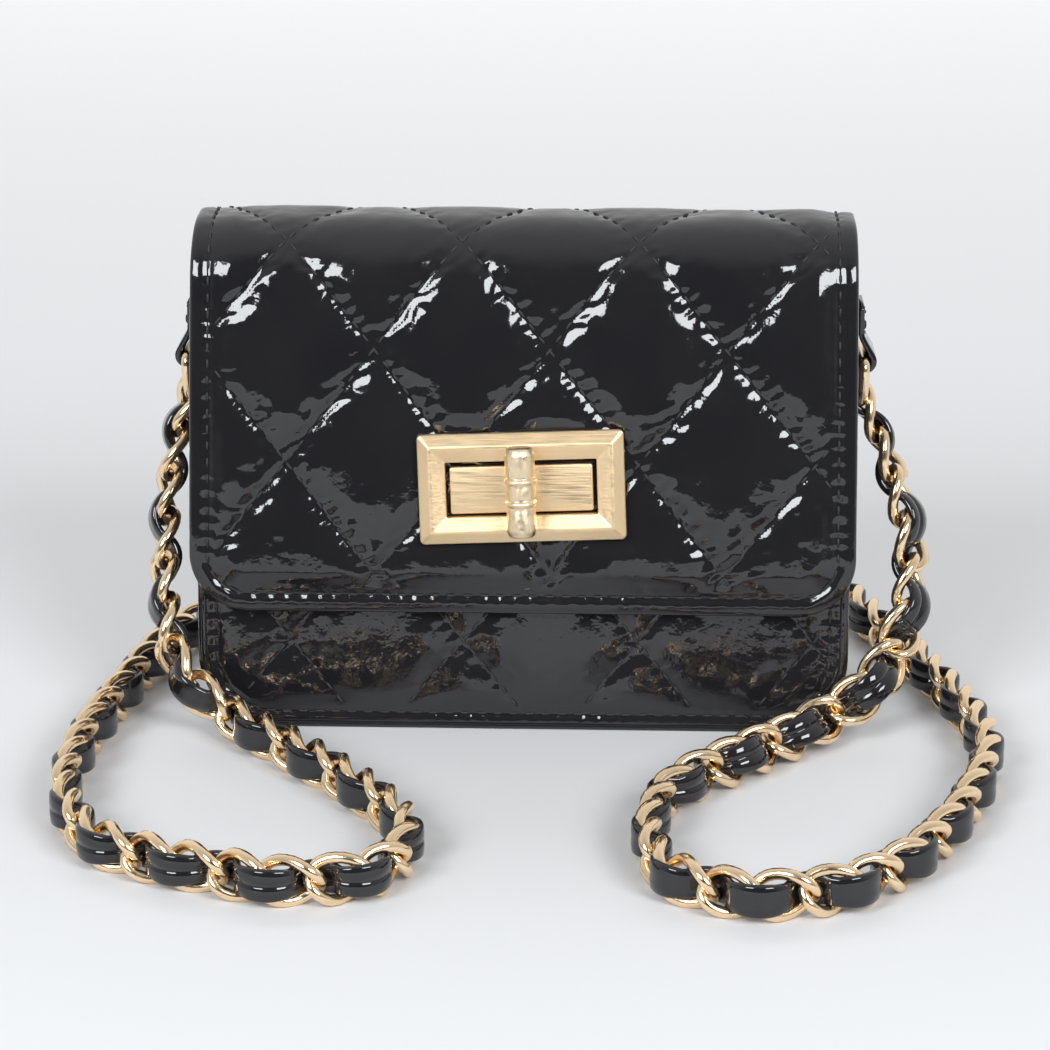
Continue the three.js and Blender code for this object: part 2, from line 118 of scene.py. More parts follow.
class Shader:
    """A material's node tree with one Principled BSDF."""

    def __init__(self, name: str, constants: dict[str, Any]) -> None:
        """Starts a material.

        Args:
            name: the material's name.
            constants: the values that are the same all over, by socket.
        """
        self.material = bpy.data.materials.new(name)
        self.material.use_nodes = True
        self.tree = self.material.node_tree
        self.tree.nodes.clear()
        output = self.tree.nodes.new("ShaderNodeOutputMaterial")
        self.surface = self.tree.nodes.new("ShaderNodeBsdfPrincipled")
        self.tree.links.new(self.surface.outputs[0], output.inputs["Surface"])
        for socket, value in constants.items():
            self.surface.inputs[socket].default_value = value

    def node(self, kind: str, settings: dict[str, Any], inputs: dict[Any, Any], output: Any = 0) -> Signal:
        """Adds a node.

        Args:
            kind: the node's type.
            settings: its own settings; "stops" fills a colour ramp.
            inputs: values or signals, by socket.
            output: the output socket to return.

        Returns:
            The output socket as a Signal.
        """
        made = self.tree.nodes.new(kind)
        for key, value in settings.items():
            if key == "stops":
                self.stops(made.color_ramp, value)
            else:
                setattr(made, key, value)
        for key, value in inputs.items():
            if isinstance(value, Signal):
                self.tree.links.new(value.socket, made.inputs[key])
            else:
                made.inputs[key].default_value = value
        return Signal(self, made.outputs[output])

    @staticmethod
    def stops(ramp: Any, stops: Sequence[tuple[float, float]]) -> None:
        """Fills a ramp with grey stops of (position, value)."""
        while len(ramp.elements) < len(stops):
            ramp.elements.new(1.0)
        for element, (position, value) in zip(ramp.elements, stops):
            element.position = position
            element.color = (value, value, value, 1.0)

    def place(self) -> Signal:
        """Returns the point's place in the object's own space, in metres."""
        return self.node("ShaderNodeTexCoord", {}, {}, "Object")

    def stretched(self, scale: tuple[float, float, float]) -> Signal:
        """Returns the point's place with each axis scaled."""
        return self.node("ShaderNodeMapping", {}, {"Vector": self.place(), "Scale": scale})

    def noise(self, scale: float, detail: float = 2.0, vector: Signal | None = None) -> Signal:
        """Returns fractal noise about 0.5 at a scale per metre."""
        where = vector or self.place()
        return self.node("ShaderNodeTexNoise", {}, {"Vector": where, "Scale": scale, "Detail": detail})

    def ramp(self, value: Signal, stops: Sequence[tuple[float, float]]) -> Signal:
        """Returns value sent through grey stops."""
        return self.node("ShaderNodeValToRGB", {"stops": stops}, {"Fac": value})

    def mix(self, share: Signal, first: tuple[float, ...], second: tuple[float, ...]) -> Signal:
        """Returns a colour between two, by share."""
        return self.node(
            "ShaderNodeMix", {"data_type": "RGBA"}, {0: share, 6: (*first, 1.0), 7: (*second, 1.0)}, 2)

    def drive(self, socket: str, value: Signal) -> None:
        """Links a signal to the surface."""
        self.tree.links.new(value.socket, self.surface.inputs[socket])

    def bump(self, height: Signal, distance: float) -> None:
        """Roughens the surface by a height, in metres at full strength."""
        self.drive("Normal", self.node("ShaderNodeBump", {}, {"Height": height, "Distance": distance}))


# ---- Finishes ----
@dataclass(frozen=True)
class Patent:
    """Black patent leather: a clear film that is crinkled all over."""

    name: str = "black_patent"
    color: tuple[float, float, float] = (0.007, 0.007, 0.009)
    worn: tuple[float, float, float] = (0.014, 0.0135, 0.015)
    index: float = 1.6
    crinkle: float = 0.00014
    crinkle_scale: float = 230.0
    fine_share: float = 0.1
    gloss: tuple[tuple[float, float], ...] = ((0.35, 0.045), (0.75, 0.11))

    def make(self) -> bpy.types.Material:
        """Returns the material."""
        shader = Shader(self.name, {"IOR": self.index, "Metallic": 0.0})
        broad = shader.noise(self.crinkle_scale, 3.0)
        fine = shader.noise(self.crinkle_scale * 3.7, 2.0)
        shader.bump(broad * (1 - self.fine_share) + fine * self.fine_share, self.crinkle)
        shader.drive("Roughness", shader.ramp(shader.noise(900.0), self.gloss))
        shader.drive("Base Color", shader.mix(shader.noise(60.0, 4.0), self.color, self.worn))
        return shader.material


@dataclass(frozen=True)
class Gold:
    """Pale gold plate, brushed along one axis or polished."""

    name: str
    color: tuple[float, float, float]
    deep: tuple[float, float, float]
    roughness: float
    grain: tuple[float, float, float] = (1.0, 1.0, 1.0)
    grain_depth: float = 0.00001
    grain_scale: float = 900.0

    def make(self) -> bpy.types.Material:
        """Returns the material."""
        shader = Shader(self.name, {"Metallic": 1.0})
        lines = shader.noise(self.grain_scale, 3.0, shader.stretched(self.grain))
        low, high = self.roughness * 0.7, self.roughness * 1.4
        shader.drive("Roughness", shader.ramp(lines, ((0.3, low), (0.7, high))))
        tone = lines * 0.65 + shader.noise(180.0, 3.0) * 0.35
        shader.drive("Base Color", shader.mix(tone, self.color, self.deep))
        shader.bump(lines, self.grain_depth)
        return shader.material


@dataclass(frozen=True)
class Woven:
    """A matt woven cloth."""

    name: str
    color: tuple[float, float, float]
    light: tuple[float, float, float]
    scale: float = 2600.0 / 6.0
    depth: float = 0.00015

    def make(self) -> bpy.types.Material:
        """Returns the material."""
        shader = Shader(self.name, {"Roughness": 0.85})
        across, along = (
            shader.node("ShaderNodeTexWave", {"bands_direction": axis},
                        {"Vector": shader.place(), "Scale": self.scale, "Distortion": 1.0}, 1)
            for axis in ("X", "Z"))
        weave = across * along
        shader.bump(weave, self.depth)
        shader.drive("Base Color", shader.mix(weave, self.color, self.light))
        return shader.material


@dataclass(frozen=True)
class Plain:
    """A plain finish with a faint mottle: thread, board or steel."""

    name: str
    color: tuple[float, float, float]
    mottle: tuple[float, float, float]
    roughness: float
    metallic: float = 0.0
    scale: float = 400.0
    depth: float = 0.00005

    def make(self) -> bpy.types.Material:
        """Returns the material."""
        shader = Shader(self.name, {"Metallic": self.metallic})
        grain = shader.noise(self.scale, 3.0)
        shader.drive("Base Color", shader.mix(grain, self.color, self.mottle))
        shader.drive("Roughness", shader.ramp(grain, ((0.3, self.roughness * 0.85), (0.7, self.roughness))))
        shader.bump(grain, self.depth)
        return shader.material


@dataclass(frozen=True)
class Paper:
    """A sweep of pale paper whose colour is painted darker near the front and paler towards the back, and
    which glows far away: painted light that evens out the floor.
    """

    name: str
    near: tuple[float, float, float]
    far: tuple[float, float, float]
    start: float
    end: float

    def make(self) -> bpy.types.Material:
        """Returns the material."""
        shader = Shader(self.name, {"Metallic": 0.0, "Roughness": 0.7, "Emission Strength": 0.5})
        depth = shader.node("ShaderNodeSeparateXYZ", {}, {0: shader.place()}, 1)
        away = shader.node("ShaderNodeVectorMath", {"operation": "LENGTH"}, {0: shader.place()}, 1)
        # Painted light: the paper glows from about 0.9 m out, and fully from 1.7 m, so the far floor stays
        # bright.
        shader.drive("Emission Color", shader.ramp(away * 0.5, ((0.45, 0.0), (0.85, 1.0))))
        # Painted shade and light: the paper is darker in front of and under the bag, where the key lights
        # fall, and paler towards the back, where their light falls off.
        share = shader.node("ShaderNodeMapRange", {}, {0: depth, 1: self.start, 2: self.end})
        shader.drive("Base Color", shader.mix(share, self.near, self.far))
        return shader.material


PATENT = Patent()
LACE_PATENT = Patent("lace_patent", crinkle=0.00003, crinkle_scale=500.0)
LINING = Woven("black_lining", (0.012, 0.012, 0.014), (0.035, 0.035, 0.04))
BRUSHED_GOLD = Gold("brushed_gold", (1.0, 0.83, 0.55), (0.95, 0.66, 0.37), 0.40,
                    (0.03, 1.0, 1.0), 0.000022, 4500.0)
TURNED_GOLD = Gold("turned_gold", (1.0, 0.84, 0.60), (0.97, 0.76, 0.50), 0.36, grain_depth=0.0000005)
LINK_GOLD = Gold("link_gold", (1.0, 0.80, 0.54), (0.94, 0.68, 0.42), 0.18)
THREAD = Plain("black_thread", (0.010, 0.010, 0.011), (0.025, 0.025, 0.027), 0.6, scale=1500.0)
BOARD = Plain("stiffener_board", (0.42, 0.34, 0.25), (0.32, 0.26, 0.19), 0.9)
STEEL = Plain("nickel_steel", (0.62, 0.62, 0.64), (0.5, 0.5, 0.52), 0.35, metallic=1.0)


# ---- Meshes ----
@dataclass
class Soup:
    """Vertices and faces of one piece, gathered from several closed forms."""

    points: list[Array] = field(default_factory=list)
    faces: list[tuple[int, ...]] = field(default_factory=list)
    count: int = 0

    def add(self, points: Array, faces: Iterable[Sequence[int]]) -> None:
        """Adds one form.

        Args:
            points: its vertices, in millimetres.
            faces: its faces, counted from its own first vertex.
        """
        self.points.append(np.asarray(points, float).reshape(-1, 3))
        self.faces += [tuple(int(i) + self.count for i in face) for face in faces]
        self.count += len(self.points[-1])

    def make(self, name: str, finish: Any, smooth: bool = True) -> bpy.types.Object:
        """Makes the object.

        Args:
            name: the piece's name.
            finish: the finish to dress it with.
            smooth: whether its faces shade smoothly.

        Returns:
            The object, linked to the scene.
        """
        mesh = bpy.data.meshes.new(name)
        mesh.from_pydata((np.vstack(self.points) * MM).tolist(), [], self.faces)
        mesh.polygons.foreach_set("use_smooth", [smooth] * len(mesh.polygons))
        mesh.materials.append(material(finish))
        mesh.update()
        made = bpy.data.objects.new(name, mesh)
        bpy.context.scene.collection.objects.link(made)
        return made


MADE_FINISHES: dict[str, bpy.types.Material] = {}


def material(finish: Any) -> bpy.types.Material:
    """Returns a finish's material, made once."""
    if finish.name not in MADE_FINISHES:
        MADE_FINISHES[finish.name] = finish.make()
    return MADE_FINISHES[finish.name]


def grid_faces(rows: int, columns: int, start: int = 0, flip: bool = False) -> list[tuple[int, ...]]:
    """Returns the quads of a grid of vertices, row by row."""
    quads = []
    for r in range(rows - 1):
        for c in range(columns - 1):
            a = start + r * columns + c
            quad = (a, a + 1, a + columns + 1, a + columns)
            quads.append(quad[::-1] if flip else quad)
    return quads


def loop_indices(rows: int, columns: int) -> list[int]:
    """Returns the border of a grid, once round."""
    top = list(range(columns))
    right = [r * columns + columns - 1 for r in range(1, rows)]
    bottom = [(rows - 1) * columns + c for c in range(columns - 2, -1, -1)]
    left = [r * columns for r in range(rows - 2, 0, -1)]
    return top + right + bottom + left


def slab(outer: Array, inner: Array, rim_steps: int = 3) -> tuple[Array, list[tuple[int, ...]]]:
    """Joins two grids of the same shape into a closed sheet with a round rim.

    Args:
        outer: (rows, columns, 3) points of the outer side.
        inner: the same for the inner side.
        rim_steps: loops between the two sides.

    Returns:
        Vertices and faces.
    """
    rows, columns = outer.shape[:2]
    border = loop_indices(rows, columns)
    flat_outer, flat_inner = outer.reshape(-1, 3), inner.reshape(-1, 3)
    middle = (flat_outer + flat_inner) / 2
    inward = np.roll(middle[border], 1, 0) - np.roll(middle[border], -1, 0)
    across = flat_outer[border] - flat_inner[border]
    outward = np.cross(across, inward)
    outward /= np.linalg.norm(outward, axis=1, keepdims=True) + 1e-9
    centre = middle.mean(0)
    if ((middle[border] - centre) * outward).sum() < 0:
        outward = -outward
    thick = np.linalg.norm(across, axis=1, keepdims=True)
    loops = []
    for k in range(1, rim_steps + 1):
        angle = math.pi * k / (rim_steps + 1)
        loops.append(middle[border] + across / 2 * math.cos(angle) + outward * thick * 0.42 * math.sin(angle))
    size = rows * columns
    points = np.vstack([flat_outer, flat_inner, *loops])
    faces = grid_faces(rows, columns, 0) + grid_faces(rows, columns, size, True)
    rim = [[2 * size + k * len(border) + i for i in range(len(border))] for k in range(rim_steps)]
    bands = [border, *rim, [size + i for i in border]]
    for upper, lower in zip(bands, bands[1:]):
        for i in range(len(border)):
            j = (i + 1) % len(border)
            faces.append((upper[j], upper[i], lower[i], lower[j]))
    return points, faces


def tube_faces(count: int, size: int, closed: bool = False) -> list[tuple[int, ...]]:
    """Returns the faces that join rings in order, back to the first or with flat ends.

    Args:
        count: how many rings there are.
        size: how many points each has.
        closed: whether the last ring joins the first.
    """
    faces = []
    for i in range(count if closed else count - 1):
        j = (i + 1) % count
        for k in range(size):
            m = (k + 1) % size
            faces.append((i * size + k, i * size + m, j * size + m, j * size + k))
    if not closed:
        faces.append(tuple(range(size))[::-1])
        faces.append(tuple((count - 1) * size + k for k in range(size)))
    return faces


def distances(line: Array) -> Array:
    """Returns each point's distance along a line from its start."""
    return np.concatenate([[0], np.cumsum(np.linalg.norm(np.diff(line, axis=0), axis=1))])


def read(table: Array, at: Array, where: Array) -> Array:
    """Returns a table's rows at some places, given the places of its own rows."""
    return np.stack([np.interp(at, where, column) for column in table.T], -1)


def soften_line(line: Array, times: int, closed: bool = False) -> Array:
    """Returns a line with its corners softened, its ends held unless it is closed."""
    line = line.copy()
    for _ in range(times):
        if closed:
            line = (np.roll(line, 1, 0) + 2 * line + np.roll(line, -1, 0)) / 4
        else:
            line[1:-1] = (line[:-2] + 2 * line[1:-1] + line[2:]) / 4
    return line


def sweep(centres: Array, sides: Array, ups: Array, section: Array, closed: bool) -> tuple[Array, list]:
    """Carries a closed section along a line.

    Args:
        centres: (n, 3) points of the line.
        sides: (n, 3) directions of the section's first axis.
        ups: (n, 3) directions of its second axis.
        section: (m, 2) points, or (n, m, 2) where it changes along the line.
        closed: whether the line closes on itself.

    Returns:
        Vertices and faces.
    """
    count, size = len(centres), section.shape[-2]
    shapes = np.broadcast_to(section, (count, size, 2))
    points = centres[:, None] + shapes[..., :1] * sides[:, None] + shapes[..., 1:] * ups[:, None]
    return points.reshape(-1, 3), tube_faces(count, size, closed)


def circle(radius: float, count: int) -> Array:
    """Returns a round section of count points."""
    turn = np.linspace(0, 2 * math.pi, count, endpoint=False)
    return np.stack([np.cos(turn) * radius, np.sin(turn) * radius], 1)


def unit(vectors: Array) -> Array:
    """Returns vectors at length 1."""
    return vectors / (np.linalg.norm(vectors, axis=-1, keepdims=True) + 1e-12)


def ease(value: Array | float) -> Array:
    """Returns a smooth step from 0 to 1 as value goes from 0 to 1."""
    t = np.clip(value, 0.0, 1.0)
    return t * t * (3 - 2 * t)


@dataclass(frozen=True)
class Ripple:
    """A smooth random field over a surface, between about -1 and 1."""

    seed: int
    cell: float
    octaves: int = 2
    size: int = 64

    def at(self, x: Array, s: Array) -> Array:
        """Returns the field at places in millimetres."""
        total = np.zeros(np.broadcast(x, s).shape)
        for octave in range(self.octaves):
            table = np.random.default_rng(self.seed + octave).uniform(-1, 1, (self.size, self.size))
            u, v = x / self.cell * 2**octave, s / self.cell * 2**octave
            i, j = np.floor(u).astype(int), np.floor(v).astype(int)
            a, b = ease(u - i), ease(v - j)
            pick = lambda di, dj: table[(i + di) % self.size, (j + dj) % self.size]
            low = pick(0, 0) * (1 - a) + pick(1, 0) * a
            high = pick(0, 1) * (1 - a) + pick(1, 1) * a
            total += (low * (1 - b) + high * b) * 0.5**octave
        return total


# ---- The purse's own planes and curves ----
class Side(Enum):
    """Which leaning face: its value is the sign of Y."""

    FRONT = -1
    BACK = 1


def joint(name: str) -> dict[str, Any]:
    """Returns a joint of the frame by name."""
    return next(j for j in frame["joints"] if j["name"] == name)


def low_high(node: str) -> tuple[Array, Array]:
    """Returns a node's corners in millimetres."""
    low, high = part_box(node)
    return np.array(low) / MM, np.array(high) / MM


class Plan:
    """Sizes that the frame holds."""

    lean = math.asin(joint("knob_turn")["axis"][2])
    half_width = low_high("front_panel")[1][0]
    height = low_high("front_panel")[1][2]
    half_base = -low_high("front_panel")[0][1]
    flap_low = low_high("flap_outer")[0][2]
    flap_front = -low_high("flap_outer")[0][1]
    flap_top = low_high("flap_outer")[1][2]
    flap_half_low = low_high("flap_outer")[1][0]
    flap_half_top = low_high("flap_tail")[1][0]
    tail_low = low_high("flap_tail")[0][2]
    tail_back = low_high("flap_tail")[1][1]
    hinge = np.array(joint("flap_hinge")["pos_m"]) / MM
    knob = np.array(joint("knob_turn")["pos_m"]) / MM
    ring = np.array(joint("right_ring_swing")["pos_m"]) / MM
    corner = 15.0


@dataclass(frozen=True)
class LeaningFace:
    """A flat leaning face: x across, s up along it from the base, h out of it."""

    side: Side

    def at(self, x: Array, s: Array, h: Array | float = 0.0) -> Array:
        """Returns points in space."""
        sign = self.side.value
        y = sign * (Plan.half_base - s * math.sin(Plan.lean) + h * math.cos(Plan.lean))
        z = s * math.cos(Plan.lean) + h * math.sin(Plan.lean)
        x, y, z = np.broadcast_arrays(x, y, z)
        return np.stack([x, y, z], -1)


class FlapLine:
    """The flap's run in the YZ plane: up the back, over the mouth and down the front.

    s counts millimetres from the tail's lower edge, and h stands out of the outer side.
    """

    FRONT_FOLD = 13.5
    BACK_FOLD = 9.5
    SINK = 0.9

    def __init__(self) -> None:
        """Works the run out from the frame."""
        lean, sink = Plan.lean, self.SINK
        up, out = np.array([math.sin(lean), math.cos(lean)]), np.array([-math.cos(lean), math.sin(lean)])
        front_foot = np.array([-Plan.flap_front, Plan.flap_low]) - out * sink
        tail_foot = np.array([Plan.tail_back, Plan.tail_low]) + np.array([-sink, 0])
        top = Plan.flap_top - sink
        back_up = np.array([-math.sin(lean), math.cos(lean)])
        corner_back = tail_foot + back_up * (top - tail_foot[1]) / back_up[1]
        corner_front = front_foot + up * (top - front_foot[1]) / up[1]
        line = [tail_foot]
        line += self._fold(tail_foot, corner_back, corner_front, self.BACK_FOLD)
        line += self._fold(corner_back, corner_front, front_foot, self.FRONT_FOLD)
        line.append(front_foot)
        self.points = self._evenly(soften_line(self._evenly(np.array(line), 400), 12), 600)
        self.s = distances(self.points)
        tangent = unit(np.gradient(self.points, axis=0))
        self.normal = np.stack([tangent[:, 1], -tangent[:, 0]], 1)
        self.length = float(self.s[-1])

    @staticmethod
    def _fold(start: Array, corner: Array, end: Array, radius: float, count: int = 14) -> list[Array]:
        """Returns points of an arc that rounds a corner."""
        a, b = unit(start - corner), unit(end - corner)
        half = math.acos(float(a @ b)) / 2
        centre = corner + unit(a + b) * radius / math.sin(half)
        first, last = corner + a * radius / math.tan(half), corner + b * radius / math.tan(half)
        u, v = first - centre, last - centre
        sweep_angle = math.acos(float(unit(u) @ unit(v)))
        shares = np.linspace(0, 1, count)
        return [centre + (u * math.sin((1 - t) * sweep_angle) + v * math.sin(t * sweep_angle))
                / math.sin(sweep_angle) for t in shares]

    @staticmethod
    def _evenly(line: Array, count: int) -> Array:
        """Returns the line with evenly spaced points."""
        s = distances(line)
        return read(line, np.linspace(0, s[-1], count), s)

    def at(self, x: Array, s: Array, h: Array | float = 0.0) -> Array:
        """Returns points in space."""
        y = np.interp(s, self.s, self.points[:, 0]) + h * np.interp(s, self.s, self.normal[:, 0])
        z = np.interp(s, self.s, self.points[:, 1]) + h * np.interp(s, self.s, self.normal[:, 1])
        x, y, z = np.broadcast_arrays(x, y, z)
        return np.stack([x, y, z], -1)

    def front_s(self, z: float) -> float:
        """Returns s at a height on the front."""
        return self.length - (z - Plan.flap_low) / math.cos(Plan.lean)


# ---- Quilting and stitches ----
@dataclass(frozen=True)
class Quilt:
    """Diamonds between two families of slanting seams.

    The padding rises from its seams over `rise`. The thread draws small puckers (`pucker`) and creases
    (`fold`) into the leather, and the film over it waves a little (`film`).
    """

    x0: float
    s0: float
    half_x: float = 17.5
    half_s: float = 22.65
    puff: float = 1.35
    seed: int = 3
    crease: float = 1.0
    wobble: float = 0.35
    rise: float = 10.5
    fullness: float = 2.6
    pucker: float = 0.16
    pucker_reach: float = 2.4
    fold: float = 0.18
    fold_reach: float = 3.0
    film: float = 0.085

    def _uv(self, x: Array, s: Array) -> tuple[Array, Array]:
        """Returns the two seam coordinates; a whole number is a seam."""
        wobble = Ripple(self.seed, 26.0).at(x, s) * self.wobble
        rise = (s - self.s0) / (2 * self.half_s)
        across = (x - self.x0 + wobble) / (2 * self.half_x)
        return across + rise, across - rise

    def seam(self, x: Array, s: Array) -> tuple[Array, Array]:
        """Returns the distance to the nearest seam of each family, in millimetres."""
        u, v = self._uv(x, s)
        slope = math.hypot(1 / (2 * self.half_x), 1 / (2 * self.half_s))
        return np.abs(u - np.round(u)) / slope, np.abs(v - np.round(v)) / slope

    def swell(self, away: Array) -> Array:
        """Returns the share of the padding's height at a distance from a seam."""
        return 1 - (1 - np.clip(away / self.rise, 0, 1)) ** self.fullness

    def height(self, x: Array, s: Array) -> Array:
        """Returns how far the padding stands above the seams, in millimetres."""
        first, second = self.seam(x, s)
        pad = self.puff * (self.swell(first) * self.swell(second)) ** 0.8
        near = np.minimum(first, second)
        phase = (x * 0.6 + s * 0.8) * 2 * math.pi / STITCH.pitch + 3 * Ripple(self.seed + 5, 5.0).at(x, s)
        puckers = self.pucker * np.exp(-((near / self.pucker_reach) ** 2)) * np.cos(phase)
        folds = self.fold * np.exp(-((near - self.fold_reach) / self.fold_reach) ** 2)
        folds = folds * Ripple(self.seed + 9, 4.2, 2).at(x, s)
        film = self.film * Ripple(self.seed + 20, 6.5, 3).at(x, s)
        fine = (puckers + folds) * np.clip(near / 0.8, 0.3, 1) + film * self.swell(near)
        return pad + fine * self.crease

    def lines(self, width: float, length: float) -> list[tuple[Array, Array]]:
        """Returns each seam as (x, s) points inside a rectangle about x = 0."""
        found = []
        reach = int((width + length) / self.half_x) + 4
        s = np.arange(0, length, 0.25)
        for sign in (1, -1):
            for k in range(-reach, reach + 1):
                x = self._x_on(s, k, sign)
                inside = np.abs(x) < width / 2
                if inside.sum() > 12:
                    found.append((x[inside], s[inside]))
        return found

    def _x_on(self, s: Array, k: int, sign: int) -> Array:
        """Returns the seam's x at each s, found by a few steps."""
        x = np.zeros_like(s)
        for _ in range(4):
            u, v = self._uv(x, s)
            x = x - ((u if sign > 0 else v) - k) * 2 * self.half_x
        return x


@dataclass(frozen=True)
class Stitch:
    """One sewn stitch: a short round thread that dips at both ends."""

    pitch: float = 3.3
    length: float = 2.3
    radius: float = 0.27
    sides: int = 6
    rings: int = 5

    def run(self, soup: Soup, points: Array, normals: Array, sunk: float = 0.0) -> None:
        """Sews along a line.

        Args:
            soup: where the stitches go.
            points: (n, 3) points of the line on the surface.
            normals: (n, 3) directions out of the surface.
            sunk: how far the thread lies below the line.
        """
        s = distances(points)
        count = int(s[-1] / self.pitch)
        if count < 1:
            return
        margin = (s[-1] - count * self.pitch) / 2
        shares = np.linspace(-0.5, 0.5, self.rings)
        section = circle(1.0, self.sides)
        for i in range(count):
            middle = margin + (i + 0.5) * self.pitch
            at = middle + shares * self.length
            centres, ups = read(points, at, s), unit(read(normals, at, s))
            dip = (np.abs(shares) * 2) ** 3 * self.radius * 1.6
            centres = centres + ups * (self.radius * 0.55 - sunk - dip)[:, None]
            tangent = unit(np.gradient(centres, axis=0))
            sides = unit(np.cross(tangent, ups))
            girth = self.radius * np.sqrt(np.clip(1 - (np.abs(shares) * 2) ** 4 * 0.75, 0.05, 1))
            sections = section[None] * girth[:, None, None]
            soup.add(*sweep(centres, sides, np.cross(sides, tangent), sections, False))


STITCH = Stitch()


def surface_line(surface: Callable, x: Array, s: Array, h: Callable) -> tuple[Array, Array]:
    """Returns a line's points on a sheet and the directions out of it."""
    height = h(x, s)
    low, high = surface(x, s, height), surface(x, s, height + 1.0)
    return low, unit(high - low)


@dataclass
class Outline:
    """A sheet's edge: half widths at its two ends, and round corners at one end or both."""

    length: float
    half_start: float
    half_end: float
    start_radius: float
    end_radius: float

    def straight(self, s: Array) -> Array:
        """Returns half the sheet's width at s before its corners are rounded."""
        return self.half_start + (self.half_end - self.half_start) * np.clip(s / self.length, 0, 1)

    def half(self, s: Array) -> Array:
        """Returns half the sheet's width at s."""
        half = self.straight(s)
        for radius, left in ((self.start_radius, s), (self.end_radius, self.length - s)):
            if radius > 0:
                into = np.clip(radius - left, 0, radius)
                half = half - (radius - np.sqrt(radius**2 - into**2))
        return half

    def edge(self, x: Array, s: Array, ends: tuple[bool, bool]) -> Array:
        """Returns the distance to the edge; ends says which of the two ends count."""
        near = side = self.straight(s) - np.abs(x)
        for counts, radius, left in ((ends[0], self.start_radius, s),
                                     (ends[1], self.end_radius, self.length - s)):
            if not counts:
                continue
            near = np.minimum(near, left)
            if radius > 0:
                cornered = (side < radius) & (left < radius)
                round_off = radius - np.hypot(radius - side, radius - left)
                near = np.where(cornered, np.minimum(near, round_off), near)
        return near

    def border(self, inset: float, ends: tuple[bool, bool]) -> tuple[Array, Array]:
        """Returns a line at an inset from the edge, from one side round to the other."""
        points: list[tuple[float, float]] = []
        start = inset if ends[0] else 0.0
        end = self.length - inset if ends[1] else self.length
        radius = max(self.end_radius - inset, 0.5) if ends[1] else 0.0
        width = lambda s: self.half_start + (self.half_end - self.half_start) * s / self.length - inset
        for s in np.arange(start, end - radius, 0.5):
            points.append((-width(s), s))
        if ends[1]:
            turns = np.linspace(0, math.pi / 2, 16)
            corner = [(width(end) - radius * (1 - math.cos(turn)), end - radius * (1 - math.sin(turn)))
                      for turn in turns]
            points += [(-x, s) for x, s in corner]
            points += [(x, end) for x in np.arange(-width(end) + radius + 0.5, width(end) - radius, 0.5)]
            points += corner[::-1]
        for s in np.arange(end - radius, start, -0.5):
            points.append((width(s), s))
        if ends[0]:
            for x in np.arange(width(start), -width(start), -0.5):
                points.append((x, start))
        line = np.array(points)
        return line[:, 0], line[:, 1]


@dataclass
class QuiltedSheet:
    """A foam-backed sheet of patent leather, quilted inside a flat stitched border.

    The border's seam lies in a groove, the strip outside it stands up a little, and the thread draws puckers
    (`hem`) into it.
    """

    name: str
    surface: Callable
    outline: Outline
    quilt: Quilt
    ends: tuple[bool, bool]
    border: float = 3.0
    thickness: float = 1.5
    step: float = 0.8
    pressed: Callable | None = None
    sag: Callable | None = None
    rise: float = 5.0
    groove: float = 0.45
    groove_reach: float = 0.55
    strip: float = 0.22
    hem: float = 0.085
    hem_change: float = 0.06
    hem_reach: float = 1.3
    wave: float = 0.10
    inside: float = 0.4

    def height(self, x: Array, s: Array) -> Array:
        """Returns the outer side's height, in millimetres."""
        near = self.outline.edge(x, s, self.ends)
        padded = ease((near - self.border) / self.rise)
        groove = self.groove * np.exp(-(((near - self.border) / self.groove_reach) ** 2))
        strip = self.strip * np.sin(np.clip(near / self.border, 0, 1) * math.pi)
        low_end = self.outline.length - s < self.border + 4
        along = np.where(low_end, x, s) * 2 * math.pi / STITCH.pitch
        phase = along + 2 * Ripple(72, 7.0).at(x, s)
        hem = np.exp(-(((near - self.border) / self.hem_reach) ** 2)) * np.cos(phase)
        uneven = self.hem + self.hem_change * Ripple(73, 14.0).at(x, s)
        wave = self.wave * Ripple(71, 9.0).at(x, s) * (near < self.border + 3) + uneven * hem
        height = self.quilt.height(x, s) * padded + strip - groove + wave
        if self.pressed is not None:
            height = self.pressed(x, s, height)
        if self.sag is not None:
            height = height + self.sag(x, s)
        return height

    def make(self) -> bpy.types.Object:
        """Returns the sheet."""
        rows = int(self.outline.length / self.step) + 1
        columns = int(2 * self.outline.half_end / self.step) + 1
        s = np.linspace(0, self.outline.length, rows)[:, None]
        x = np.linspace(-1, 1, columns)[None] * self.outline.half(s)
        height = self.height(x, np.broadcast_to(s, x.shape))
        back = np.minimum(height, self.inside) - self.thickness
        outer = self.surface(x, s, height)
        inner = self.surface(x, s, back)
        soup = Soup()
        soup.add(*slab(outer, inner))
        return soup.make(self.name, PATENT)

    def sew(self, border_name: str) -> bpy.types.Object:
        """Returns the thread of the sheet's seams and border."""
        soup = Soup()
        inside = lambda x, s: self.outline.edge(x, s, self.ends) > self.border + 0.8
        for x, s in self.quilt.lines(2 * self.outline.half_end, self.outline.length):
            keep = inside(x, s)
            if self.pressed is not None:
                keep &= ~under_lock(x, s)
            for part in np.split(np.arange(len(x)), np.where(np.diff(keep.astype(int)) != 0)[0] + 1):
                if keep[part[0]] and len(part) > 8:
                    points, normals = surface_line(self.surface, x[part], s[part], self.height)
                    STITCH.run(soup, points, normals, 0.04 if self.pressed is not None else -0.12)
        x, s = self.outline.border(self.border, self.ends)
        points, normals = surface_line(self.surface, x, s, self.height)
        STITCH.run(soup, points, normals, -0.06)
        return soup.make(border_name, THREAD)


FLAP = FlapLine()
# The lock's plates, width by height.
LOCK_FRAME = (41.0, 22.0)
LOCK_BASE = (28.3, 9.4)
LOCK_HALF = (LOCK_FRAME[0] / 2, LOCK_FRAME[1] / 2)
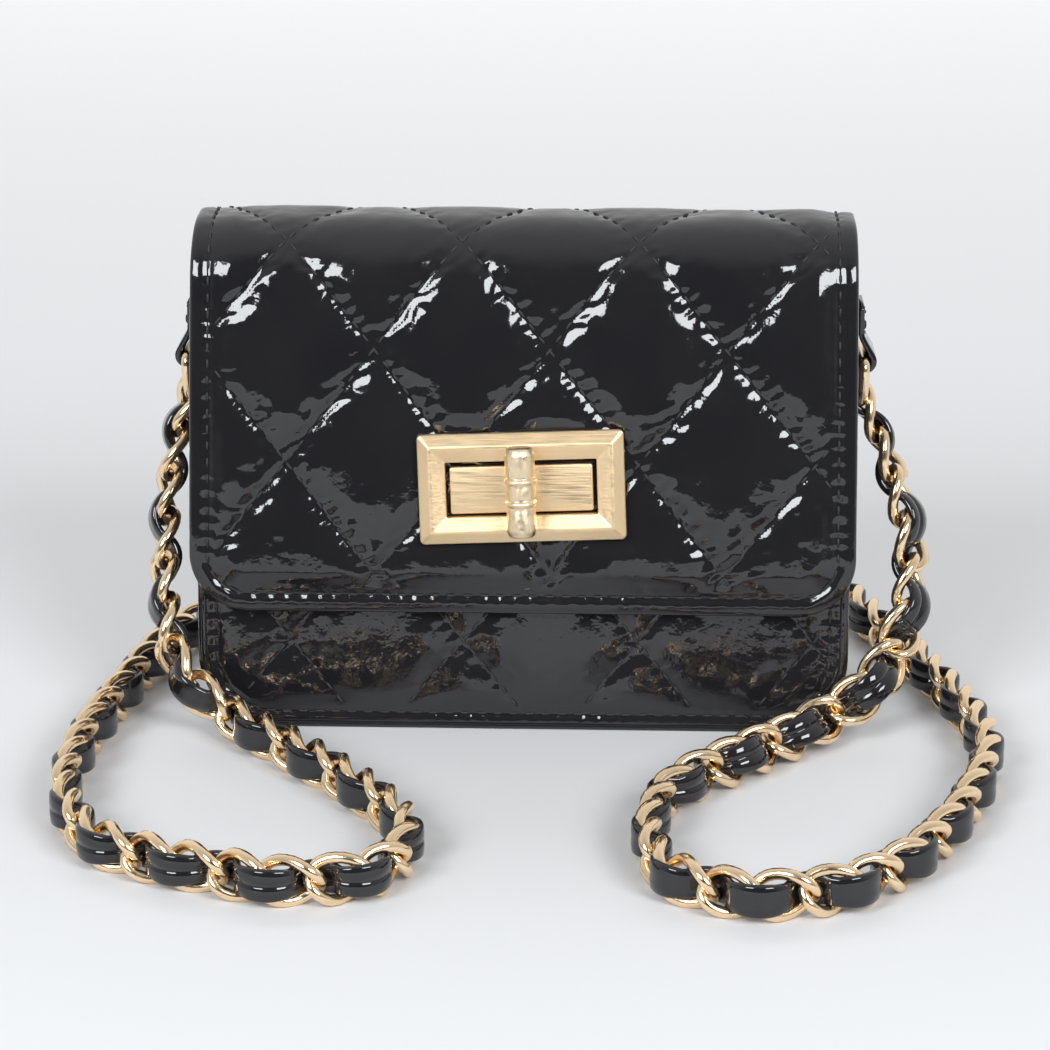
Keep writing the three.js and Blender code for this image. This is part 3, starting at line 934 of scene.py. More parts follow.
# How high the sheet stands under the lock, and how far from the lock's edge it is free again.
PRESSED = 0.75
PRESS_REACH = 3.5
# The padding flattens by a share over the last millimetres below the flap's top.
TIGHT_SHARE = 0.55
TIGHT_REACH = 16


def under_lock(x: Array, s: Array, margin: float = 0.4) -> Array:
    """Returns whether places on the flap lie under the lock."""
    centre = FLAP.front_s(Plan.knob[2])
    return (np.abs(x - Plan.knob[0]) < LOCK_HALF[0] + margin) & (np.abs(s - centre) < LOCK_HALF[1] + margin)


def hold_down(x: Array, s: Array, height: Array) -> Array:
    """Returns the flap's height, pressed flat under the lock and drawn tight over the top."""
    over = ease((FLAP.front_s(Plan.flap_top - TIGHT_REACH) - s) / TIGHT_REACH)
    height = height * (1 - TIGHT_SHARE * over)
    centre = FLAP.front_s(Plan.knob[2])
    out_x = np.abs(x - Plan.knob[0]) - LOCK_HALF[0]
    out_s = np.abs(s - centre) - LOCK_HALF[1]
    away = np.hypot(np.clip(out_x, 0, None), np.clip(out_s, 0, None))
    hold = 1 - ease(away / PRESS_REACH)
    return height * (1 - hold) + np.minimum(height, PRESSED) * hold


@dataclass
class Flap:
    """The flap: one quilted sheet from the back panel over the mouth to the front, with its lining."""

    length: float = FLAP.length
    lining_drop: float = 1.75
    lining_thickness: float = 0.8
    lining_inset: float = 0.15
    top_roll: float = 1.1
    hem_roll: float = 0.5
    bend: float = 4.0

    def outline(self) -> Outline:
        """Returns the flap's edge."""
        return Outline(self.length, Plan.flap_half_top, Plan.flap_half_low, 2.0, 11.0)

    def roll_off(self, x: Array, s: Array) -> Array:
        """Returns how far the front draws back towards the fold and the hem, in millimetres."""
        front = FLAP.front_s(Plan.flap_top - 12)
        rise = ease((front + 22 - s) / 24) * ease((s - front + 26) / 26)
        hem = ease((s - self.length + 12) / 12)
        return -self.top_roll * rise - self.hem_roll * hem

    def sheet(self) -> QuiltedSheet:
        """Returns the outer sheet's description."""
        return QuiltedSheet(
            "flap_quilted_sheet", FLAP.at, self.outline(),
            Quilt(5.5, FLAP.front_s(33.1)), (True, True), step=0.55, pressed=hold_down, sag=self.roll_off)

    def dress(self) -> list[bpy.types.Object]:
        """Makes the flap's soft pieces.

        Returns:
            The pieces.
        """
        sheet = self.sheet()
        outer = sheet.make()
        thread = sheet.sew("flap_thread")
        lining = self.lining(sheet)
        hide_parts("flap_outer", "flap_tail")
        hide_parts("flap_lining")
        for piece, slot in ((outer, "patent"), (thread, "patent"), (lining, "lining")):
            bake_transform(piece)
        return [outer, thread, lining]

    def lining(self, sheet: QuiltedSheet) -> bpy.types.Object:
        """Returns the lining sheet behind the outer one."""
        edge = self.outline()
        rows, columns = 130, 60
        s = np.linspace(0, edge.length, rows)[:, None]
        x = np.linspace(-1, 1, columns)[None] * (edge.half(s) - self.lining_inset)
        s = np.broadcast_to(s, x.shape)
        base = np.minimum(sheet.height(x, s), sheet.inside) - self.lining_drop
        soup = Soup()
        soup.add(*slab(FLAP.at(x, s, base), FLAP.at(x, s, base - self.lining_thickness)))
        return soup.make("flap_lining_sheet", LINING)


@dataclass
class Body:
    """The pouch: quilted front and back panels, the gusset, the lining and what it hides."""

    border: float = 3.2
    gusset_inset: float = 0.7
    gusset_thickness: float = 1.2

    def panel(self, side: Side) -> QuiltedSheet:
        """Returns a panel's description; s runs down from the mouth."""
        face = LeaningFace(side)
        length = Plan.height / math.cos(Plan.lean)
        surface = lambda x, s, h=0.0: face.at(x, length - s, h - 0.9)
        outline = Outline(length, Plan.half_width, Plan.half_width, 0.0, Plan.corner)
        quilt = Quilt(-11.8, length - 18.4, half_s=21.5, puff=0.6, crease=0.4,
                      seed=31 if side is Side.FRONT else 57)
        return QuiltedSheet(f"{side.name.lower()}_quilted_panel", surface, outline, quilt, (False, True),
                            border=self.border, step=0.65, sag=self.belly)

    @staticmethod
    def belly(x: Array, s: Array) -> Array:
        """Returns how far a panel swells over what it holds, in millimetres."""
        length = Plan.height / math.cos(Plan.lean)
        share = np.clip(s / length, 0, 1)
        return 0.9 * np.sin(share * math.pi) ** 0.8 * (1 - (x / Plan.half_width) ** 2)

    def gusset(self) -> bpy.types.Object:
        """Returns the strip that runs down one side, under the base and up the other."""
        soup = Soup()
        x, z, out_x, out_z, run = self.strip_line()
        share = np.linspace(-1, 1, 30)[None]
        half = (Plan.half_base - z * math.tan(Plan.lean))[:, None] - self.gusset_inset
        draw = self.side_sag(z)[:, None] * (1 - np.abs(share) ** 2.2)
        ripple = 0.25 * Ripple(91, 8.0, 3).at(run[:, None], share * half) * (1 - share**4) * (z > 4)[:, None]
        depth = -draw + ripple
        grid = np.stack([x[:, None] + out_x[:, None] * depth, share * half,
                         z[:, None] + out_z[:, None] * depth], -1)
        back = grid - np.stack([out_x, np.zeros_like(out_x), out_z], -1)[:, None] * self.gusset_thickness
        soup.add(*slab(grid, back))
        return soup.make("gusset_strip", PATENT)

    @staticmethod
    def side_sag(z: Array) -> Array:
        """Returns how far the gusset folds in at a height."""
        mouth = ease((z - (Plan.ring[2] + 14)) / 14)
        return 0.5 * ease((z - 8) / 20) + 3.2 * mouth

    @staticmethod
    def strip_line() -> tuple[Array, Array, Array, Array, Array]:
        """Returns a U-shaped line as x, z, its outward direction and its run."""
        half, radius = Plan.half_width, Plan.corner
        left = [(-half, z, -1.0, 0.0) for z in np.linspace(Plan.height, radius, 90)[:-1]]
        for turn in np.linspace(0, math.pi / 2, 20):
            c, s = math.cos(turn), math.sin(turn)
            left.append((-half + radius * (1 - c), radius * (1 - s), -c, -s))
        base = [(x, 0.0, 0.0, -1.0) for x in np.linspace(-half + radius, half - radius, 90)[1:-1]]
        right = [(-x, z, -out_x, out_z) for x, z, out_x, out_z in reversed(left)]
        table = np.array(left + base + right)
        return (*table.T, distances(table[:, :2]))

    def dress(self) -> list[bpy.types.Object]:
        """Makes the pouch's pieces and puts them on the body.

        Returns:
            The pieces.
        """
        made = []
        for side in Side:
            sheet = self.panel(side)
            panel, thread = sheet.make(), sheet.sew(f"{side.name.lower()}_panel_thread")
            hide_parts(f"{side.name.lower()}_panel")
            made += [panel, thread]
        gusset = self.gusset()
        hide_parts("gusset")
        made.append(gusset)
        for piece in made:
            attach(piece, "purse_body")
        for node in ("lining_front", "lining_back", "lining_gusset", "slip_pocket"):
            dress_node(node, LINING)
        dress_node("base_board", BOARD)
        dress_node("body_magnet", STEEL)
        return made


def dress_node(node: str, finish: Any) -> None:
    """Gives a CAD node its finish."""
    mesh = frame["nodes"][node].data
    mesh.materials.clear()
    mesh.materials.append(material(finish))


# ---- Turn lock ----
# Sections of the plates: inset from the edge, height, corner radius.
FRAME_PROFILE = (
    (0.10, 0.30, 0.9), (0.0, 0.42, 1.0), (0.0, 1.25, 1.0), (0.12, 1.45, 0.9), (0.35, 1.58, 0.8),
    (2.05, 3.32, 0.5), (2.35, 3.47, 0.45), (2.75, 3.47, 0.45), (3.05, 3.36, 0.4),
    (5.25, 2.62, 0.35), (5.45, 2.5, 0.3), (5.52, 2.3, 0.3), (5.52, 0.32, 0.3),
)
BASE_PROFILE = ((0.0, 0.3, 0.5), (0.0, 1.55, 0.5), (0.12, 1.72, 0.5), (0.4, 1.8, 0.4))


@dataclass
class TurnLock:
    """The window's frame, the base plate in it, and the knob that stands across it."""

    tilt: float = math.radians(2.2)
    top: float = 3.5
    base_drop: float = 0.25
    knob_half: float = 8.85
    knob_radius: float = 3.25
    bead: float = 0.55
    bead_pitch: float = 4.4
    bevel: float = 0.12

    def place(self, points: Array) -> Array:
        """Returns points of the lock's own frame in space: x across, y up the face, z out of it."""
        c, s = math.cos(self.tilt), math.sin(self.tilt)
        x = points[..., 0] * c - points[..., 1] * s
        y = points[..., 0] * s + points[..., 1] * c
        z = points[..., 2]
        lean = Plan.lean
        return Plan.knob + np.stack(
            [x, y * math.sin(lean) - z * math.cos(lean), y * math.cos(lean) + z * math.sin(lean)], -1)

    @staticmethod
    def ring(width: float, height: float, radius: float, z: float, per_corner: int = 5) -> Array:
        """Returns a rounded rectangle's points at a height."""
        points = []
        for quarter, (sx, sy) in enumerate(((1, 1), (-1, 1), (-1, -1), (1, -1))):
            for turn in np.linspace(quarter * math.pi / 2, (quarter + 1) * math.pi / 2, per_corner):
                points.append((sx * (width / 2 - radius) + radius * math.cos(turn),
                               sy * (height / 2 - radius) + radius * math.sin(turn), z))
        return np.array(points)

    def plate(self, name: str, size: tuple[float, float], profile: Sequence[tuple[float, float, float]],
              drop: float = 0.0, caps: bool = False) -> bpy.types.Object:
        """Returns a plate.

        Args:
            name: the piece's name.
            size: its width and height.
            profile: its section as (inset from the edge, height, corner radius).
            drop: how far it sits below the lock's middle.
            caps: whether it is solid; without them it closes on itself round a window.
        """
        rings = [self.ring(size[0] - 2 * inset, size[1] - 2 * inset, radius, z) - (0, drop, 0)
                 for inset, z, radius in profile]
        soup = Soup()
        self.add_rings(soup, rings, closed=not caps)
        return soup.make(name, BRUSHED_GOLD, smooth=False)

    def add_rings(self, soup: Soup, rings: list[Array], closed: bool = False) -> None:
        """Adds one form made of rings in the lock's own frame."""
        soup.add(self.place(np.vstack(rings)), tube_faces(len(rings), len(rings[0]), closed))

    def knob_mesh(self) -> bpy.types.Object:
        """Returns the turned knob with its stem."""
        half, bead, pitch = self.knob_half, self.bead, self.bead_pitch
        middle = self.top + 0.3 + self.knob_radius
        stops = [(-half, 0.0), (-half, 2.3), (-half + 0.25, 2.62), (-half + 1.25, 3.0), (-half + 1.6, 3.04)]
        for centre in (-pitch / 2, pitch / 2):
            stops += [(centre - 1.25, 2.86), (centre - 0.75, 2.74), (centre - bead, 2.8)]
            crown = np.linspace(0.4, 2.74, 7)
            stops += [(centre - bead * math.cos(t), 2.8 + 0.45 * math.sin(t)) for t in crown]
            stops += [(centre + bead, 2.8), (centre + 0.75, 2.74), (centre + 1.25, 2.86)]
        stops += [(half - 1.6, 3.04), (half - 1.25, 3.0), (half - 0.25, 2.62), (half, 2.3), (half, 0.0)]
        soup = Soup()
        turn = np.linspace(0, 2 * math.pi, 48, endpoint=False)
        across, up = np.cos(turn), np.sin(turn)
        bar = [(y, max(r, 0.01)) for y, r in stops]
        self.add_rings(
            soup, [np.stack([r * across, np.full_like(turn, y), middle + r * up], 1) for y, r in bar])
        stem = ((2.2, 2.1), (2.2, 2.5), (1.9, 3.2), (1.9, 4.6), (2.3, middle - 1.2))
        self.add_rings(soup, [np.stack([r * across, r * up, np.full_like(turn, z)], 1) for r, z in stem])
        return soup.make("lock_turned_knob", TURNED_GOLD)

    def dress(self) -> list[bpy.types.Object]:
        """Makes the lock's pieces.

        Returns:
            The pieces.
        """
        plate = self.plate("lock_frame_plate", LOCK_FRAME, FRAME_PROFILE)
        base = self.plate("lock_base_plate", LOCK_BASE, BASE_PROFILE, self.base_drop, caps=True)
        knob = self.knob_mesh()
        for piece, node, body in ((plate, "lock_frame", "flap"), (base, "lock_base", "flap"),
                                  (knob, "lock_knob", "turn_knob")):
            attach(piece, body)
            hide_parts(node)
        for piece in (plate, base):
            soften(piece, self.bevel)
        for node in ("lock_back_plate", "knob_washer", "flap_magnet"):
            dress_node(node, STEEL)
        return [plate, base, knob]


def soften(piece: bpy.types.Object, width: float) -> None:
    """Bevels a hard piece's edges and shades it by angle."""
    bevel = piece.modifiers.new("edges", "BEVEL")
    bevel.width = width * MM
    bevel.segments = 2
    bevel.limit_method = "ANGLE"
    bevel.angle_limit = math.radians(32)
    bevel.harden_normals = True
    piece.data.polygons.foreach_set("use_smooth", [True] * len(piece.data.polygons))


# ---- Strap ----
STRAP_Z = 4.8
STRAP_END_Z = 61.8
# The strap's route from the left ring to the right one.
STRAP_ROUTE = (
    (-68.9, 0, STRAP_END_Z), (-71.6, -3, 52), (-73, -10, 36), (-72, -18, 25), (-70, -24.6, 17),
    (-64.5, -29, 10), (-57, -33, 5.8), (-44, -47.5, STRAP_Z), (-28, -69, STRAP_Z), (-19, -88, STRAP_Z),
    (-22.5, -104.5, STRAP_Z), (-37, -110.5, STRAP_Z), (-57, -104.5, STRAP_Z), (-75, -94, STRAP_Z),
    (-84.3, -74, STRAP_Z), (-85.8, -51, STRAP_Z), (-82.5, -21, STRAP_Z), (-73, 22, STRAP_Z),
    (-60, 36, STRAP_Z), (-38, 42, STRAP_Z), (-12, 43, STRAP_Z), (10, 53, STRAP_Z), (28, 67, STRAP_Z),
    (48, 71, STRAP_Z), (64, 60, STRAP_Z), (71.5, 39, STRAP_Z), (90, -25, STRAP_Z), (91, -50, STRAP_Z),
    (75, -94, STRAP_Z), (60, -110, STRAP_Z), (43.5, -113.5, STRAP_Z), (30.5, -106, STRAP_Z),
    (25.8, -88, STRAP_Z), (30, -66, STRAP_Z), (45, -46.5, STRAP_Z), (60, -30.3, 5.6), (71.2, -23.6, 12),
    (78.2, -13, 27), (75.8, -5, 46), (68.9, 0, STRAP_END_Z),
)
# The way the strap's width points, by place in the route; between these it turns evenly.
STRAP_WIDTHS = {
    0: (0.15, -0.99, 0.0), 3: (0.3, -0.9, 0.2), 5: (0.25, -0.3, 0.9), 7: (0.0, 0.0, 1.0),
    33: (0.0, 0.0, 1.0), 34: (-0.35, 0.3, 0.85), 35: (-0.5, 0.4, 0.75), 36: (-0.8, -0.1, 0.5),
    37: (-0.6, -0.8, 0.1), 38: (-0.3, -0.95, 0.0), 39: (0.2, -0.98, 0.0),
}


def band_section() -> list[tuple[float, float, int]]:
    """Returns the band's section as (share of its width, share of its thickness, seam), once round."""
    upper = [(-1.0, 0.0, 0), (-0.97, 0.55, 0), (-0.86, 0.95, 0), (-0.4, 1.08, 0), (-0.07, 1.0, 0)]
    upper.append((0.0, 1.0, 1))
    upper += [(-share, depth, seam) for share, depth, seam in upper[-2::-1]]
    return upper + [(share, -depth, -seam) for share, depth, seam in upper[-2:0:-1]]


BAND_SECTION = band_section()


class Route:
    """A smooth line through the strap's points, with the way its width points."""

    def __init__(self, points: Sequence[tuple[float, float, float]], widths: dict[int, tuple]) -> None:
        """Works out the line.

        Args:
            points: the route.
            widths: the width's direction at some of the points.
        """
        given = np.array(points, float)
        ghosts = np.vstack([2 * given[0] - given[1], given, 2 * given[-1] - given[-2]])
        line, at = [], []
        for i in range(len(given) - 1):
            shares = np.linspace(0, 1, 24, endpoint=i == len(given) - 2)
            line.append(self._piece(ghosts[i:i + 4], shares))
            at.append(i + shares)
        line, at = np.vstack(line), np.concatenate(at)
        s = distances(line)
        self.length = float(s[-1])
        self.s = np.arange(0, self.length, 0.25)
        self.points = read(line, self.s, s)
        knots = np.array(sorted(widths))
        width = read(np.array([widths[k] for k in knots], float), np.interp(self.s, s, at), knots)
        self.tangent = unit(np.gradient(self.points, axis=0))
        self.width = unit(width - (width * self.tangent).sum(1, keepdims=True) * self.tangent)
        self.face = np.cross(self.tangent, self.width)

    @staticmethod
    def _piece(four: Array, shares: Array) -> Array:
        """Returns one stretch of a centripetal Catmull-Rom line."""
        gaps = [max(float(np.linalg.norm(b - a)) ** 0.5, 1e-4) for a, b in zip(four, four[1:])]
        a, b, c = gaps
        p0, p1, p2, p3 = four
        first = ((p1 - p0) / a - (p2 - p0) / (a + b) + (p2 - p1) / b) * b
        last = ((p2 - p1) / b - (p3 - p1) / (b + c) + (p3 - p2) / c) * b
        t = shares[:, None]
        return (p1 + first * t + (-3 * p1 + 3 * p2 - 2 * first - last) * t**2
                + (2 * p1 - 2 * p2 + first + last) * t**3)

    def at(self, s: Array | float) -> tuple[Array, Array, Array, Array]:
        """Returns point, tangent, width and face directions at a run, straight past either end."""
        run = np.atleast_1d(np.asarray(s, float))
        held = np.clip(run, 0, self.s[-1])
        tangent, width, face = (
            unit(read(ways, held, self.s)) for ways in (self.tangent, self.width, self.face))
        return read(self.points, held, self.s) + (run - held)[:, None] * tangent, tangent, width, face


@dataclass
class Strap:
    """Curb links with a band of patent leather woven through them, in three stretches."""

    pitch: float = 9.15
    wire: float = 1.1
    half_length: float = 5.75
    half_width: float = 3.95
    twist: float = math.radians(44)
    band_width: float = 6.4
    band_thickness: float = 1.5
    weave: float = 3.05
    seam_depth: float = 0.45
    bias: float = 0.3
    end_stretch: float = 46.0
    overlap: float = 2.5
    first_link: float = 0.9
    route: Route = field(default_factory=lambda: Route(STRAP_ROUTE, STRAP_WIDTHS))

    @property
    def count(self) -> int:
        """How many links there are."""
        return round((self.route.length - 2 * self.first_link) / self.pitch) + 1

    @property
    def spacing(self) -> float:
        """The distance from link to link that brings one to each ring."""
        return (self.route.length - 2 * self.first_link) / (self.count - 1)

    def link(self, soup: Soup, run: float, wobble: float) -> None:
        """Adds one link whose middle lies at a run of the route."""
        turn = np.linspace(0, 2 * math.pi, 30, endpoint=False)
        along, twist = self.half_length * np.cos(turn), self.twist * np.cos(turn) + wobble
        bulge = np.sign(np.sin(turn)) * np.abs(np.sin(turn)) ** 0.85 * self.half_width
        points = np.stack([along, bulge * np.cos(twist), bulge * np.sin(twist)], 1)
        tangent = unit(np.roll(points, -1, 0) - np.roll(points, 1, 0))
        guess = unit(points * np.array([0.6, 1.0, 1.0]))
        side = unit(guess - (guess * tangent).sum(1, keepdims=True) * tangent)
        point, axis, width, face = self.route.at(run)
        basis = np.vstack([axis, width, face])
        centres = point + points @ basis
        soup.add(*sweep(centres, side @ basis, np.cross(tangent, side) @ basis, circle(self.wire, 9), True))

    def band_sections(self, run: Array, face: Array) -> tuple[Array, Array]:
        """Works out the band's weave, which stands out further on the side that faces front.

        Args:
            run: places along the route, in millimetres.
            face: the direction out of the band at each.

        Returns:
            The band's offset from the route and its section at each place.
        """
        phase = (run - self.first_link - self.spacing / 2) / self.spacing * math.pi
        wave = np.cos(phase)
        biased = wave - self.bias * face[:, 1]
        offset = self.weave * np.sign(biased) * np.abs(biased / (1 + self.bias)) ** 0.62
        width = self.band_width - 1.0 * (1 - np.abs(wave)) ** 1.5
        half_w, half_t = width / 2, self.band_thickness / 2
        seam_sign = np.where(run < self.route.length / 2, -1.0, 1.0)
        outline = []
        for share, depth, groove in BAND_SECTION:
            cut = groove * np.where(seam_sign == groove, self.seam_depth, 0.0)
            outline.append(np.stack([share * half_w, (depth - cut) * half_t + 0 * half_w], -1))
        return offset, np.stack(outline, 1)

    def band(self, name: str, start: float, end: float) -> bpy.types.Object:
        """Returns a stretch of the woven band."""
        run = np.arange(start, end + 0.4, 0.8)
        points, _, width, face = self.route.at(run)
        offset, sections = self.band_sections(run, face)
        centres = points + face * offset[:, None]
        tangent = unit(np.gradient(centres, axis=0))
        width = unit(width - (width * tangent).sum(1, keepdims=True) * tangent)
        soup = Soup()
        soup.add(*sweep(centres, width, np.cross(tangent, width), sections, False))
        return soup.make(name, LACE_PATENT)

    def links(self, name: str, numbers: range) -> bpy.types.Object:
        """Returns some of the chain's links as one piece."""
        soup = Soup()
        draw = np.random.default_rng(11).uniform(-1, 1, 400)
        for i in numbers:
            self.link(soup, self.first_link + i * self.spacing, 0.07 * draw[i])
        return soup.make(name, LINK_GOLD)

    def dress(self) -> list[bpy.types.Object]:
        """Makes the strap.

        Returns:
            The pieces.
        """
        whole, count, end = self.route.length, self.count, self.end_stretch
        ends = int(end / self.pitch)
        pieces = []
        for word, numbers, low, high in (
            ("left_end", range(ends), -self.overlap, end),
            ("run", range(ends, count - ends), end, whole - end),
            ("right_end", range(count - ends, count), whole - end, whole + self.overlap),
        ):
            band = self.band(f"strap_band_{word}", low, high)
            links = self.links(f"strap_links_{word}", numbers)
            for piece, slot in ((band, "strap_lace"), (links, "gold")):
                self.settle(piece, word)
            self.declare(word, band, links, low, high)
            pieces += [band, links]
        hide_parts("chain_strap")
        return pieces

    def settle(self, piece: bpy.types.Object, word: str) -> None:
        """Puts the middle stretch on the body; an end stretch is only baked where it lies."""
        if word == "run":
            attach(piece, "purse_body")
            return
        side = -1 if word == "left_end" else 1
        ring = np.array([side * Plan.ring[0], 0, Plan.ring[2] - 12])
        far = np.array([side * (Plan.ring[0] + 6), 0, 24.0])
        body = "left_ring" if side < 0 else "right_ring"
        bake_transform(piece)

    def declare(self, word: str, band: bpy.types.Object, links: bpy.types.Object,
                low: float, high: float) -> None:
        """Works out a stretch's path along the route and its real length, and does nothing more with them."""
        run = np.arange(low, high, 3.0)
        if word == "right_end":
            run = run[::-1]
        path = self.route.at(run)[0] * MM
        length = (high - low) * MM
        tuple(path[0])
        [tuple(p) for p in path]


@dataclass
class RingAndTab:
    """A strap ring on its folded tab, on one side of the purse."""

    side: int
    ply: float = 1.2
    width: float = 11.0
    top: float = 84.0
    gap: float = 0.35
    eye: float = 1.45
    edge: float = 0.35
    hem: float = 1.6
    ring_half: float = 7.3
    ring_drop: float = 9.5
    wire: float = 1.1

    @property
    def word(self) -> str:
        """The side's name."""
        return "left" if self.side < 0 else "right"

    def tab(self) -> bpy.types.Object:
        """Returns the tab: a strip folded round the ring's bar, with its two plies sewn together."""
        centre_x, centre_z = Plan.ring[0], Plan.ring[2]
        middle, side_x = self.eye + self.ply / 2, Plan.half_width + self.gap
        line = [(side_x + self.ply / 2, z) for z in np.linspace(self.top, centre_z + 5, 14)]
        line += [(centre_x + middle * math.cos(t), centre_z + middle * math.sin(t))
                 for t in np.linspace(math.radians(150), math.radians(395), 26)]
        line += [(side_x + self.ply * 1.55, z) for z in np.linspace(centre_z + 4.6, self.top, 14)]
        table = soften_line(np.array(line), 3)
        centres = np.stack([self.side * table[:, 0], np.zeros(len(table)), table[:, 1]], 1)
        tangent = unit(np.gradient(centres, axis=0))
        across = np.tile(np.array([0.0, 1.0, 0.0]), (len(table), 1))
        outward = np.cross(tangent, across)
        wide, thick = self.width / 2 - self.edge, self.ply / 2 - self.edge
        section = np.array([(math.copysign(wide, a) + a, math.copysign(thick, b) + b)
                            for a, b in circle(self.edge, 12)])
        soup = Soup()
        soup.add(*sweep(centres, across, outward, section, False))
        return soup.make(f"strap_tab_{self.word}_folded", PATENT)

    def ring(self) -> bpy.types.Object:
        """Returns the D-shaped ring."""
        half = self.ring_half
        turn = np.linspace(0, math.pi, 40)
        bow = np.stack([-half * np.cos(turn), -self.ring_drop * np.sin(turn) ** 0.92], 1)
        bar = np.stack([np.linspace(half, -half, 16)[1:-1], np.zeros(14)], 1)
        line = soften_line(np.vstack([bow, bar]), 2, closed=True)
        x = np.full(len(line), self.side * Plan.ring[0])
        centres = np.stack([x, line[:, 0], Plan.ring[2] + line[:, 1]], 1)
        tangent = unit(np.roll(centres, -1, 0) - np.roll(centres, 1, 0))
        out = np.tile(np.array([1.0, 0.0, 0.0]), (len(line), 1))
        soup = Soup()
        soup.add(*sweep(centres, out, np.cross(tangent, out), circle(self.wire, 14), True))
        return soup.make(f"strap_ring_{self.word}_wire", LINK_GOLD)

    def sew(self) -> bpy.types.Object:
        """Returns the tab's stitching."""
        x = self.side * (Plan.half_width + self.gap + self.ply * 2.05)
        low, high, half = Plan.ring[2] + 5.2, self.top - self.hem, self.width / 2 - self.hem
        corners = np.array([(x, y, z) for y, z in (
            (-half, low), (half, low), (half, high), (-half, high), (-half, low))])
        soup = Soup()
        for a, b in zip(corners, corners[1:]):
            line = a + (b - a) * np.linspace(0, 1, 20)[:, None]
            STITCH.run(soup, line, np.tile(np.array([float(self.side), 0, 0]), (20, 1)), -0.1)
        return soup.make(f"strap_tab_{self.word}_thread", THREAD)

    def dress(self) -> list[bpy.types.Object]:
        """Makes the tab and the ring.

        Returns:
            The pieces.
        """
        tab, ring, thread = self.tab(), self.ring(), self.sew()
        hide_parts(f"strap_tab_{self.word}")
        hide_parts(f"strap_ring_{self.word}")
        for piece, body, slot in ((tab, "purse_body", "patent"), (thread, "purse_body", "patent"),
                                  (ring, f"{self.word}_ring", "gold")):
            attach(piece, body)
        return [tab, ring, thread]


# ---- Stage ----
ROOM_COLOR = (0.975, 0.985, 1.0, 1.0)
ROOM_LIGHT = 0.40
ROOM_SEEN = 0.93
# What the room shows in reflections, from the camera's side to the far side: dark in front, pale behind.
ROOM_MIRRORED = ((0.0, 0.07), (0.12, 0.09), (0.3, 0.45), (0.5, 0.62), (0.8, 0.85))


@dataclass(frozen=True)
class SoftBox:
    """A rectangular studio light that faces a point."""

    name: str
    place: tuple[float, float, float]
    size: tuple[float, float]
    power: float
    aim: tuple[float, float, float] = (0.0, 0.0, 0.05)
    color: tuple[float, float, float] = (1.0, 1.0, 1.0)
    mirrored: bool = True

    def hang(self) -> None:
        """Hangs the light."""
        data = bpy.data.lights.new(self.name, "AREA")
        data.shape = "RECTANGLE"
        data.size, data.size_y = self.size
        data.energy = self.power
        data.color = self.color
        light = bpy.data.objects.new(self.name, data)
        light.location = self.place
        light.visible_glossy = self.mirrored
        point_at(light, self.aim)
        bpy.context.scene.collection.objects.link(light)


def point_at(thing: bpy.types.Object, aim: Sequence[float]) -> None:
    """Turns a light or camera so that it looks at a point."""
    way = Vector(aim) - thing.location
    thing.rotation_euler = way.to_track_quat("-Z", "Y").to_euler()


